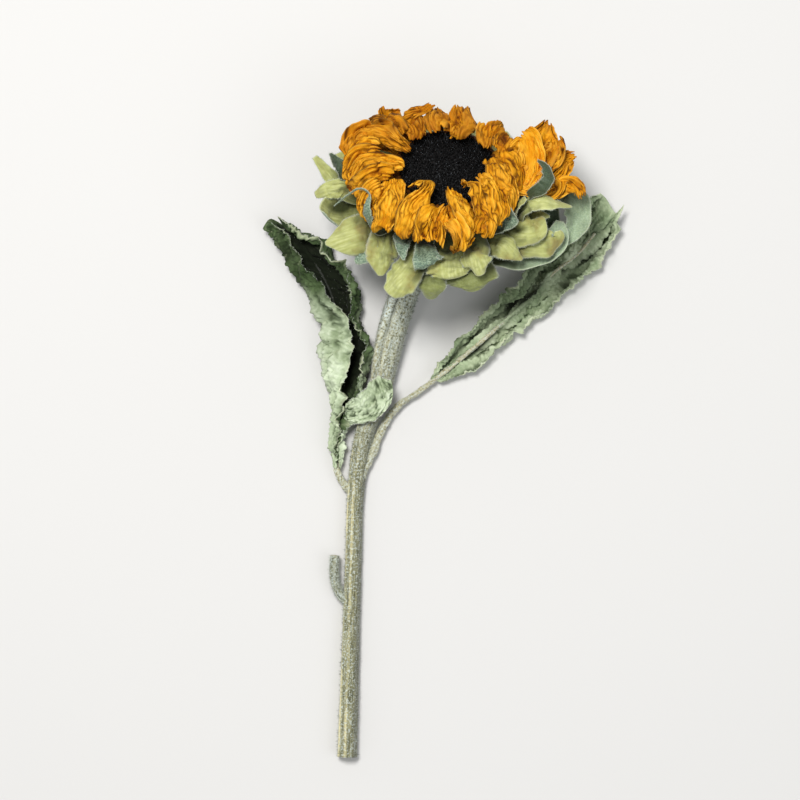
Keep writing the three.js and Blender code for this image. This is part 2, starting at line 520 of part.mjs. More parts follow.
// A surface carried through its rails, with waves that grow towards both edges
function railSurface(rails, wave, waves) {
  const curves = rails.map((rail) => smoothCurve(vectors(rail)));
  return (u, v) => {
    const section = smoothCurve(curves.map((curve) => curve.getPoint(u)));
    const point = section.getPoint((v + 1) / 2);
    const swing = Math.sin(2 * Math.PI * waves * u + (v > 0 ? 1.2 : 3.9));
    point.z += wave * v ** 4 * swing * Math.sin(Math.PI * u);
    return point;
  };
}

function round() {
  return 1;
}

// Ribbed stalk, with a side lobe and a groove along its left flank below the head
function stalkSection(angle, u) {
  const upper = Math.exp(-(((u - 0.66) / 0.1) ** 2));
  const lobe = 0.28 * upper * Math.exp(-(((angle - 3.3) / 0.5) ** 2));
  const groove = 0.22 * upper * Math.exp(-(((angle - 2.3) / 0.25) ** 2));
  return 1 + 0.05 * Math.cos(7 * angle) + lobe - groove;
}

function stalkSolid(extra) {
  const path = stalkPath.map((p) => [p[0], p[1], p[2], p[3] + extra]);
  return barSolid(path, stalk.sides, stalk.steps, stalkSection);
}

function stubSolid() {
  return barSolid(stubPath.map((p) => [...p, stub.radius]), stub.sides, stub.steps, round);
}

// The disc's florets are raised where two opposed sets of spirals cross; each ring turns the spirals on
function discSolid() {
  const { rings, spokes } = disc;
  const points = [];
  for (let i = 1; i <= rings; i++)
    for (let j = 0; j < spokes; j++) {
      const radius = (disc.radius * i) / rings;
      const angle = (2 * Math.PI * (j + 0.5 * (i % 2))) / spokes;
      const leftSpiral = Math.cos(disc.leftSpirals * angle + disc.leftTurn * i);
      const rightSpiral = Math.cos(disc.rightSpirals * angle - disc.rightTurn * i);
      const dome = disc.dome * (1 - (i / rings) ** 2);
      const relief = disc.floretHeight * leftSpiral * rightSpiral;
      points.push(onHead(radius, angle, i < rings ? dome + relief : disc.edge));
    }
  const foot = points.length;
  for (let j = 0; j < spokes; j++) {
    const angle = (2 * Math.PI * (j + 0.5)) / spokes;
    points.push(onHead(disc.radius, angle, disc.foot));
  }
  const top = points.length;
  points.push(onHead(0, 0, disc.dome), onHead(0, 0, disc.foot));
  const faces = [];
  for (let j = 0; j < spokes; j++) {
    const next = (j + 1) % spokes;
    faces.push(top, j, next, top + 1, foot + next, foot + j);
    for (let i = 0; i < rings; i++) {
      const a = i * spokes + j;
      const b = i * spokes + next;
      faces.push(a, a + spokes, b + spokes, a, b + spokes, b);
    }
  }
  return outwardSolid(gridGeometry(points, faces));
}

function collarSolid() {
  const { inner, outer, bottom, top } = collar;
  const profile = [[inner, bottom], [outer, bottom], [outer, top], [inner, top], [inner, bottom]];
  return headLathe(profile, collar.segments);
}

function cupSolid() {
  const { neck, neckHeight, rim, rimHeight } = cup;
  const profile = [[0, neckHeight], [neck, neckHeight]];
  const rise = rimHeight - 2 - neckHeight;
  for (let i = 1; i <= cup.rings; i++) {
    const turn = (Math.PI / 2) * (i / cup.rings);
    profile.push([neck + (rim - neck) * Math.sin(turn), neckHeight + rise * (1 - Math.cos(turn))]);
  }
  profile.push([rim - 0.4, rimHeight], [0, rimHeight]);
  return headLathe(profile, cup.segments);
}

// Everything below the table is cut away, which leaves small flat rests
function tableSolid() {
  const below = new THREE.BoxGeometry(slab.width, slab.width, slab.depth);
  below.translate(0, 0, -slab.depth / 2);
  return outwardSolid(below);
}

const table = tableSolid();
const stalkRoom = stalkSolid(gap);

function stem() {
  return fuse([stalkSolid(0), stubSolid()]).subtract(table);
}

function rayPetals(extra) {
  const petals = petalRows.map((row, index) => petalSolid(row, index, extra));
  return fuse([collarSolid(), ...petals]);
}

// Room for the disc and the collar on top of the cup
function discRoom() {
  const { rimHeight } = cup;
  const reach = collar.outer + gap;
  const top = disc.dome + disc.floretHeight + gap;
  return headLathe([[0, rimHeight], [reach, rimHeight], [reach, top], [0, top]], collar.segments);
}

function involucre() {
  const near = bractRows.map((row) => bractSolid(row, bract.along));
  const far = farBractRows.map(farBractSolid);
  const rooms = wasm.Manifold.union([table, stalkRoom, discRoom(), rayPetals(gap)]);
  return largestBody(fuse([cupSolid(), ...near, ...far]).subtract(rooms));
}

function leafOf(rails, midribPath, extras) {
  const grid = surfaceGrid(railSurface(rails, leaf.wave, leaf.waves), leaf.along, leaf.across);
  const blade = bladeSolid(grid, leaf.thickness);
  const midrib = barSolid(midribPath, leaf.midribSides, leaf.midribSteps, round);
  return largestBody(fuse([blade, midrib, ...extras]).subtract(table).subtract(stalkRoom));
}

function leafRight() {
  return leafOf(rightLeafRails, rightStalkPath, []);
}

function leafLeft() {
  const lobeGrid = surfaceGrid(railSurface(lobeRails, lobe.wave, lobe.waves), lobe.along, lobe.across);
  const lobeBlade = bladeSolid(lobeGrid, leaf.thickness);
  return leafOf(leftLeafRails, leftStalkPath, [lobeBlade]);
}

function meshOf(name, solid, color, roughness) {
  const { vertProperties, triVerts, numProp } = solid.getMesh();
  const geometry = new THREE.BufferGeometry();
  const positions = new Float32Array((vertProperties.length / numProp) * 3);
  for (let i = 0; i < positions.length / 3; i++)
    positions.set(vertProperties.subarray(i * numProp, i * numProp + 3), 3 * i);
  geometry.setAttribute("position", new THREE.BufferAttribute(positions, 3));
  geometry.setIndex(new THREE.BufferAttribute(new Uint32Array(triVerts), 1));
  geometry.computeVertexNormals();
  const mesh = new THREE.Mesh(geometry, new THREE.MeshStandardMaterial({ color, roughness, metalness: 0 }));
  mesh.name = name;
  return mesh;
}

const sunflower = new THREE.Group();
sunflower.add(
  meshOf("stem", stem(), 0xa8aa8e, 0.9),
  meshOf("involucre", involucre(), 0xb9c083, 0.85),
  meshOf("disc", discSolid(), 0x0c0b0c, 0.95),
  meshOf("ray_petals", rayPetals(0), 0xf5a60f, 0.75),
  meshOf("leaf_left", leafLeft(), 0x5e7350, 0.85),
  meshOf("leaf_right", leafRight(), 0x8ca684, 0.85),
);
sunflower.position.set(-middle.x, -middle.y, 0);

export default sunflower;
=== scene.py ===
from math import cos, pi, radians, sin
import bpy
import numpy as np
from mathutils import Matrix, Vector


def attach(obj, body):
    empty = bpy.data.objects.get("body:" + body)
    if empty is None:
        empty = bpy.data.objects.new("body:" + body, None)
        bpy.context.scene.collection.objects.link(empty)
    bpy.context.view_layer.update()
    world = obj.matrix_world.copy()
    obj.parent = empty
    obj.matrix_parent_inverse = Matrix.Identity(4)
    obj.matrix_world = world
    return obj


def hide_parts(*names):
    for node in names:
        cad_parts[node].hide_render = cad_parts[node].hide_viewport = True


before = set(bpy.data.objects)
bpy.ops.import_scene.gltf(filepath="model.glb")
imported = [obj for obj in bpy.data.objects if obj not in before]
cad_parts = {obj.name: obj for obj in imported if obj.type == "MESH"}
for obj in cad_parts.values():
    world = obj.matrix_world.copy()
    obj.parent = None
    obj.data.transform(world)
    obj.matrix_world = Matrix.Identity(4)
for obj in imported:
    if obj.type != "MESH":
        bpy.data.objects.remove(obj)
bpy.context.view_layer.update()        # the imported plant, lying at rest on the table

# Shapes are worked out in millimetres from the model's own place, then moved over the origin
mm = 0.001
middle = np.array([21.9, -17.0, 0.0])
head = dict(centre=(23.3, 114.0, 55.6), elevation=53, heading=2)
upward = [0, 0, 1.0]


# General tools

def linear(code):
    # A screen colour such as F5A60F as linear red, green, blue and alpha
    parts = np.array([int(code[i:i + 2], 16) for i in (0, 2, 4)]) / 255
    parts = np.where(parts < 0.04045, parts / 12.92, ((parts + 0.055) / 1.055) ** 2.4)
    return (*parts.tolist(), 1.0)


def unit(vectors):
    return vectors / np.maximum(np.linalg.norm(vectors, axis=-1, keepdims=True), 1e-9)


def draw(row, purpose):
    # A repeatable draw from 0 to 1: the fraction of a large multiple of a sine, as in the model
    value = sin(row * 12.9898 + purpose * 78.233) * 43758.5453
    return value - np.floor(value)


def climb(value, start, width):
    # 0 up to the start, then evenly to 1 over the width; with a negative width it climbs the other way
    return np.clip((value - start) / width, 0, 1)


def bell(value, centre, width):
    # 1 at the centre, falling off as e to the minus square of the distance over the width
    return np.exp(-((value - centre) / width) ** 2)


def noise(seed, x, y):
    # Smooth noise from -1 to 1: random heights on a square lattice, blended with a smooth step
    size = 61
    x, y = np.broadcast_arrays(x, y)
    cells = np.random.default_rng(seed).uniform(-1, 1, (size, size))
    left, low = np.floor(x).astype(int), np.floor(y).astype(int)
    a, b = x - left, y - low
    a, b = a * a * (3 - 2 * a), b * b * (3 - 2 * b)
    near, far = (cells[left % size, row % size] * (1 - a) + cells[(left + 1) % size, row % size] * a
                 for row in (low, low + 1))
    return near * (1 - b) + far * b


def folds(seed, x, y):
    # Round ridges with sharp valleys between them: twice the size of the noise, less its mean
    return 2.2 * np.abs(noise(seed, x, y)) - 0.8


def through(points, t):
    # Uniform Catmull-Rom curve through the points, t from 0 to 1, its ends carried straight on
    points = np.asarray(points, float)
    points = np.concatenate([[2 * points[0] - points[1]], points, [2 * points[-1] - points[-2]]])
    s = np.clip(t, 0, 1) * (len(points) - 3)
    i = np.minimum(s.astype(int), len(points) - 4)
    w = (s - i).reshape((-1,) + (1,) * (points.ndim - 1))
    a, b, c, d = points[i], points[i + 1], points[i + 2], points[i + 3]
    square, cube = 2 * a - 5 * b + 4 * c - d, 3 * b - a - 3 * c + d
    return 0.5 * (2 * b + (c - a) * w + square * w ** 2 + cube * w ** 3)


def bladeSteps(rows, columns):
    # Places along a blade from 0 to 1, and across it from -1 to 1
    return np.linspace(0, 1, rows)[:, None], np.linspace(-1, 1, columns)[None, :]


def swept(here, side, up, sideways, lift):
    # A line's points moved sideways and up, giving a grid along and across
    return here[:, None] + sideways[..., None] * side[:, None] + lift[..., None] * up[:, None]


def ownMap(sideways, along):
    # A piece's own map, in centimetres across and along
    return np.stack(np.broadcast_arrays(sideways, along), -1) / 10


def patches(rows, a, b, column=-1):
    # Soft oval patches, added up: rows of place along and across, half length, half width and strength
    return sum(row[column] * bell(a, row[0], row[2]) * bell(b, row[1], row[3]) for row in rows)


def gridNormals(grid):
    # Across both steps of the grid, one along and one across
    return unit(np.cross(np.gradient(grid, axis=0), np.gradient(grid, axis=1)))


def gridFaces(rows, columns, closed=False):
    # Four corners for each cell of a grid, which may close on itself across
    i = np.arange(rows - 1)[:, None] * columns
    j = np.arange(columns if closed else columns - 1)[None, :]
    k = (j + 1) % columns
    return np.stack([i + j, i + columns + j, i + columns + k, i + k], -1).reshape(-1, 4)


def turnedFaces(rows, columns):
    # The cells of a turned grid, with one face over its first ring and one over its last
    ring = np.arange(columns)[None, :]
    return [gridFaces(rows, columns, closed=True), ring, ring[:, ::-1] + (rows - 1) * columns]


def makePiece(name, points, faces, material, node, fields=None, shape=None):
    # A mesh from points in millimetres, arrays of faces, values at each point and its own map
    points = points.reshape(-1, 3)
    points[:, 2] = np.maximum(points[:, 2], 0)
    mesh = bpy.data.meshes.new(name)
    mesh.vertices.add(len(points))
    mesh.vertices.foreach_set("co", ((points - middle) * mm).astype(np.float32).ravel())
    corners = np.concatenate([part.ravel() for part in faces]).astype(np.int32)
    sizes = np.concatenate([np.full(len(part), part.shape[1]) for part in faces])
    mesh.loops.add(len(corners))
    mesh.loops.foreach_set("vertex_index", corners)
    mesh.polygons.add(len(sizes))
    mesh.polygons.foreach_set("loop_start", np.concatenate([[0], np.cumsum(sizes)[:-1]]).astype(np.int32))
    mesh.polygons.foreach_set("use_smooth", np.ones(len(sizes), bool))
    for key, values in (fields or {}).items():
        layer = mesh.attributes.new(key, "FLOAT", "POINT")
        layer.data.foreach_set("value", values.astype(np.float32).ravel())
    if shape is not None:
        layer = mesh.uv_layers.new(name="shape")
        layer.data.foreach_set("uv", shape.reshape(-1, 2)[corners].astype(np.float32).ravel())
    mesh.update(calc_edges=True)
    mesh.materials.append(material)
    piece = bpy.data.objects.new(name, mesh)
    bpy.context.scene.collection.objects.link(piece)
    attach(piece, "root")
    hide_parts(node)


def blade(name, grid, thickness, material, node, fields, shape):
    # A closed thin blade: the middle surface moved half its thickness each way along its normals, with a
    # rim. A field is one value per place, or a pair for the two faces.
    size = grid.shape[:2]
    count = size[0] * size[1]
    lift = gridNormals(grid) * (np.broadcast_to(thickness, size) / 2)[..., None]
    front = gridFaces(*size)
    index = np.arange(count).reshape(size)
    loop = np.concatenate([index[0, :-1], index[:-1, -1], index[-1, :0:-1], index[:0:-1, 0]])
    after = np.roll(loop, -1)
    rim = np.stack([loop, after, after + count, loop + count], -1)
    pairs = {key: value if isinstance(value, tuple) else (value, value) for key, value in fields.items()}
    both = {key: np.stack([np.broadcast_to(value, size) for value in pair]) for key, pair in pairs.items()}
    faces = [front, front[:, ::-1] + count, rim]
    makePiece(name, np.stack([grid + lift, grid - lift]), faces, material, node, both,
              np.stack([shape, shape]))


def hairs(name, roots, directions, lengths, radius, material, node):
    # Straight three-sided hairs, each a ring of three points at the root and one point at the tip
    rng = np.random.default_rng(len(roots))
    directions = unit(directions)
    side = unit(np.cross(directions, rng.normal(size=directions.shape)))
    other = np.cross(directions, side)
    ring = [roots + radius * (side * cos(turn) + other * sin(turn)) for turn in (0, 2 * pi / 3, 4 * pi / 3)]
    points = np.stack([*ring, roots + directions * lengths[:, None]], 1)
    base = np.arange(len(roots))[:, None] * 4
    faces = np.concatenate([base + [0, 1, 3], base + [1, 2, 3], base + [2, 0, 3], base + [2, 1, 0]])
    makePiece(name, points, [faces], material, node)


# Materials

class Finish:
    # A Principled material, with short ways to add the nodes that lead to its shader

    def __init__(self, name, roughness, sheen=0.0, specular=0.25):
        self.material = bpy.data.materials.new(name)
        self.material.use_nodes = True
        self.nodes = self.material.node_tree.nodes
        self.link = self.material.node_tree.links.new
        self.shader = self.nodes["Principled BSDF"]
        self.shader.inputs["Roughness"].default_value = roughness
        self.shader.inputs["Sheen Weight"].default_value = sheen
        self.shader.inputs["Specular IOR Level"].default_value = specular

    def add(self, kind, **sockets):
        # A new node, each socket given a value or linked to another node's output
        node = self.nodes.new("ShaderNode" + kind)
        for name, value in sockets.items():
            if isinstance(value, bpy.types.NodeSocket):
                self.link(value, node.inputs[name])
            else:
                node.inputs[name].default_value = value
        return node

    def value(self, name):
        # The value that the mesh holds at each point under the name
        reader = self.add("Attribute")
        reader.attribute_name = name
        return reader.outputs["Fac"]

    def pattern(self, scale, detail, stretch=(1, 1, 1), mapped=False, distortion=0.0):
        # Noise over the object's own place, or over its own map where mapped
        if mapped:
            source = self.add("UVMap")
            source.uv_map = "shape"
            place = source.outputs["UV"]
        else:
            place = self.add("TexCoord").outputs["Object"]
        place = self.add("Mapping", Vector=place, Scale=stretch).outputs["Vector"]
        node = self.add("TexNoise", Vector=place, Scale=scale, Detail=detail, Distortion=distortion)
        return node.outputs["Fac"]

    def ramp(self, factor, stops):
        # Colours laid along the factor from 0 to 1, as places with screen colours
        node = self.add("ValToRGB", Fac=factor)
        while len(node.color_ramp.elements) < len(stops):
            node.color_ramp.elements.new(0.5)
        for element, (place, code) in zip(node.color_ramp.elements, stops):
            element.position = place
            element.color = linear(code)
        return node.outputs["Color"]

    def maths(self, operation, first, second):
        node = self.add("Math")
        node.operation = operation
        self.link(first, node.inputs[0])
        if isinstance(second, float):
            node.inputs[1].default_value = second
        else:
            self.link(second, node.inputs[1])
        return node.outputs["Value"]

    def mix(self, factor, first, second, amount=1.0, blendType="MIX"):
        # The second colour over the first by the factor, times an amount
        node = self.add("Mix")
        node.data_type = "RGBA"
        node.blend_type = blendType
        if amount != 1.0:
            factor = self.maths("MULTIPLY", factor, amount)
        self.link(factor, node.inputs["Factor"])
        for name, colour in (("A", first), ("B", second)):
            target = next(socket for socket in node.inputs if socket.name == name and socket.type == "RGBA")
            if isinstance(colour, str):
                target.default_value = linear(colour)
            else:
                self.link(colour, target)
        return next(socket for socket in node.outputs if socket.type == "RGBA")

    def span(self, factor, low, high):
        # The factor's stretch from low to high as 0 to 1, eased and held at both ends
        node = self.add("MapRange", Value=factor, **{"From Min": low, "From Max": high})
        node.interpolation_type = "SMOOTHSTEP"
        return node.outputs["Result"]

    def bump(self, height, strength, distance):
        node = self.add("Bump", Height=height, Strength=strength, Distance=distance)
        self.link(node.outputs["Normal"], self.shader.inputs["Normal"])

    def letLightIn(self, weight, radius, scale):
        for name, value in (("Weight", weight), ("Radius", radius), ("Scale", scale)):
            self.shader.inputs["Subsurface " + name].default_value = value

    def paint(self, colour):
        self.link(colour, self.shader.inputs["Base Color"])
        return self.material


def petalMaterial():
    # Golden ridges with painted highlight, orange slopes and red-brown valley lines as painted shade, pale
    # margins and fine fibres along the petal
    look = dict(valleyShade="391401", slope="B0680A", body="D8950D", ridge="F6BA38", margin="ECB850", tip="84420C",
                fibres=26)
    finish = Finish("driedPetal", 0.72, specular=0.12)
    mottled = finish.pattern(140, 5)
    streaks = finish.pattern(look["fibres"], 3, (1, 0.09, 1), mapped=True)
    # The fold relief, with fibres and mottle, paints highlight on the ridges and shade on the slopes
    height = finish.value("foldLight")
    for part, share in ((streaks, 0.7), (mottled, 0.4)):
        part = finish.maths("MULTIPLY", finish.maths("SUBTRACT", part, 0.5), share)
        height = finish.maths("ADD", height, part)
    colour = finish.ramp(height, [(0.1, look["slope"]), (0.45, look["body"]), (0.95, look["ridge"])])
    colour = finish.mix(finish.value("tint"), colour, look["slope"])
    colour = finish.mix(finish.value("margin"), colour, look["margin"], 0.6)
    worn = finish.maths("MULTIPLY", finish.value("age"), finish.span(mottled, 0.35, 0.65))
    colour = finish.mix(worn, colour, look["tip"], 0.8)
    # Painted shade in the valleys, at the root and along the edge under the next petal
    colour = finish.mix(finish.value("valleyShade"), colour, look["valleyShade"], 0.9)
    finish.letLightIn(0.08, (0.004, 0.002, 0.0006), 0.2)
    finish.bump(streaks, 0.45, 0.0004)
    return finish.paint(colour)


def bractMaterial():
    # Streaked yellow-green inner face, grey-green outer face, pale margin, painted shade at the base, in
    # folds and in a hollow, and brown stains
    look = dict(inner="C5CA8E", innerDeep="9DA25E", outer="5F7564", outerPale="94A78F", stain="7E5A2C",
                olive="7F8440", dark="33422C", sage="A3B592", shade="343A1A", margin="D6DCC4")
    finish = Finish("driedBract", 0.6, 0.2)
    streaks = finish.pattern(9, 3, (1, 0.12, 1), mapped=True)
    cloudy = finish.pattern(70, 4)
    specks = finish.pattern(1400, 3)
    inner = finish.mix(finish.span(streaks, 0.25, 0.8), look["innerDeep"], look["inner"])
    inner = finish.mix(finish.span(cloudy, 0.42, 0.62), inner, look["innerDeep"], 0.7)
    inner = finish.mix(finish.span(cloudy, 0.53, 0.7), inner, look["stain"], 0.5)
    outer = finish.mix(finish.span(specks, 0.4, 0.65), look["outer"], look["outerPale"])
    colour = finish.mix(finish.value("inner"), outer, inner)
    for name, amount in (("olive", 0.8), ("dark", 0.85), ("sage", 0.55), ("shade", 1.0), ("margin", 1.0)):
        colour = finish.mix(finish.value(name), colour, look[name], amount)
    finish.letLightIn(0.1, (0.002, 0.002, 0.0008), 0.3)
    finish.bump(finish.maths("ADD", streaks, specks), 0.3, 0.0004)
    return finish.paint(colour)


def leafMaterial(name, under, underDeep):
    # Dark green upper face, pale under face, cream veins, painted shade in the fold valleys, painted
    # highlight on the fold ridges and near-black painted shade in the hollows
    look = dict(upper="2B3A20", upperPale="586A47", vein="D2D6B2", margin="C9D0AE", valleyShade="2A3720",
                hollowShade="0E120A", light="FFFFFF")
    finish = Finish(name, 0.85, 0.04, 0.1)
    cloudy = finish.pattern(60, 5, distortion=0.4)
    grain = finish.pattern(600, 3)
    foldLight = finish.value("foldLight")
    upper = finish.mix(finish.span(cloudy, 0.35, 0.7), look["upper"], look["upperPale"])
    under = finish.mix(finish.span(cloudy, 0.3, 0.65), underDeep, under)
    colour = finish.mix(finish.value("under"), upper, under)
    # Painted shade in the fold valleys and painted highlight on the fold ridges
    colour = finish.mix(finish.span(foldLight, 0.45, 0.05), colour, look["valleyShade"], 0.75)
    colour = finish.mix(finish.span(foldLight, 0.5, 1), colour, look["light"], 0.5, "SOFT_LIGHT")
    colour = finish.mix(finish.value("vein"), colour, look["vein"])
    colour = finish.mix(finish.value("margin"), colour, look["margin"])
    colour = finish.mix(finish.span(grain, 0.4, 0.7), colour, look["light"], 0.35, "SOFT_LIGHT")
    # Painted shade: near black in the hollows
    colour = finish.mix(finish.value("hollowShade"), colour, look["hollowShade"], 0.96)
    finish.bump(grain, 0.3, 0.0003)
    return finish.paint(colour)


def stalkMaterial():
    # Grey-green skin with straw ribs, darker grooves, dark flecks, a white bloom and a pale pith where cut
    look = dict(skin="9A9A7A", groove="4A4E38", rib="E0D6A4", bloom="D3DEDA", pith="D9D2B4", rind="8A8058",
                fleck="343A24", dark="161C0F")
    finish = Finish("stalkSkin", 0.82, 0.3)
    streaks = finish.pattern(16, 4, (1, 0.08, 1), mapped=True)
    speckle = finish.pattern(1100, 2)
    flecks = finish.pattern(800, 3)
    colour = finish.mix(finish.span(streaks, 0.35, 0.65), look["groove"], look["skin"])
    colour = finish.mix(finish.value("rib"), colour, look["rib"])
    colour = finish.mix(finish.span(flecks, 0.53, 0.68), colour, look["fleck"], 0.5)
    colour = finish.mix(finish.span(speckle, 0.5, 0.64), colour, look["bloom"], 0.6)
    bloom = finish.maths("MULTIPLY", finish.value("bloom"), finish.span(flecks, 0.62, 0.42))
    colour = finish.mix(bloom, colour, look["bloom"], 0.85)
    # Painted shade in the furrows and on leaf stalks beyond the leaf's base; the flank is simply darker
    colour = finish.mix(finish.value("dark"), colour, look["dark"])
    cut = finish.ramp(finish.pattern(500, 2), [(0.3, look["rind"]), (0.6, look["pith"])])
    colour = finish.mix(finish.value("cut"), colour, cut)
    finish.bump(finish.maths("ADD", streaks, speckle), 0.5, 0.0005)
    return finish.paint(colour)


def discMaterial():
    # Near black, mottled a little browner and lighter by a fine grain
    look = dict(deep="030304", body="0B0B0C", tip="1C1715")
    finish = Finish("seedDisc", 0.55)
    grain = finish.pattern(900, 3)
    finish.bump(grain, 0.5, 0.0004)
    return finish.paint(finish.ramp(grain, [(0.35, look["deep"]), (0.6, look["body"]), (0.8, look["tip"])]))


def plainMaterial(name, dark, pale, scale, roughness, sheen=0.0):
    # Two close colours in a fine mottle
    finish = Finish(name, roughness, sheen)
    return finish.paint(finish.ramp(finish.pattern(scale, 3), [(0.35, dark), (0.65, pale)]))


# The head's own frame: its axis, a direction across to the right, and one to the far side

axis = np.array([sin(radians(head["heading"])) * cos(radians(head["elevation"])),
                 cos(radians(head["heading"])) * cos(radians(head["elevation"])),
                 sin(radians(head["elevation"]))])
across = unit(np.array([1.0, 0, 0]) - axis[0] * axis)
behind = np.cross(axis, across)
discCentre = np.array(head["centre"])


def onHead(radius, azimuth, height):
    # Out from the disc's centre by a radius at an azimuth, and up the axis by a height
    radius, azimuth, height = np.broadcast_arrays(radius, azimuth, height)
    out = np.cos(azimuth)[..., None] * across + np.sin(azimuth)[..., None] * behind
    return discCentre + radius[..., None] * out + height[..., None] * axis


def seenAt(x, y, height):
    # The place at a height over the disc's plane that lies above x and y on the table
    far = (y - discCentre[1] - height * axis[1]) / behind[1]
    return discCentre + (x - discCentre[0] - height * axis[0]) * across + far * behind + height * axis


def carriedAlong(points, rows, level):
    # A smooth line through points of x, y, z, half width and roll, with a side direction that starts square
    # to the level direction, is carried along without turning, and is rolled about the line
    line = through(points, np.linspace(0, 1, rows))
    here, roll = line[:, :3], np.radians(line[:, 4:5])
    forward = unit(np.gradient(here, axis=0))
    side = np.cross(level, forward)
    for i in range(1, rows):
        side[i] = side[i - 1] - side[i - 1] @ forward[i] * forward[i]
    side = unit(side)
    side = np.cos(roll) * side + np.sin(roll) * np.cross(forward, side)
    return here, side, np.cross(forward, side), line[:, 3:4]


def drawnBack(grid, share):
    # Each line of the grid, running from root to tip, keeps only its share of the length
    rows = len(grid)
    place = np.linspace(0, rows - 1.001, rows)[:, None] * share
    low, part = place.astype(int), (place % 1)[..., None]
    column = np.arange(grid.shape[1])[None, :]
    return grid[low, column] * (1 - part) + grid[low + 1, column] * part


# Ray petals

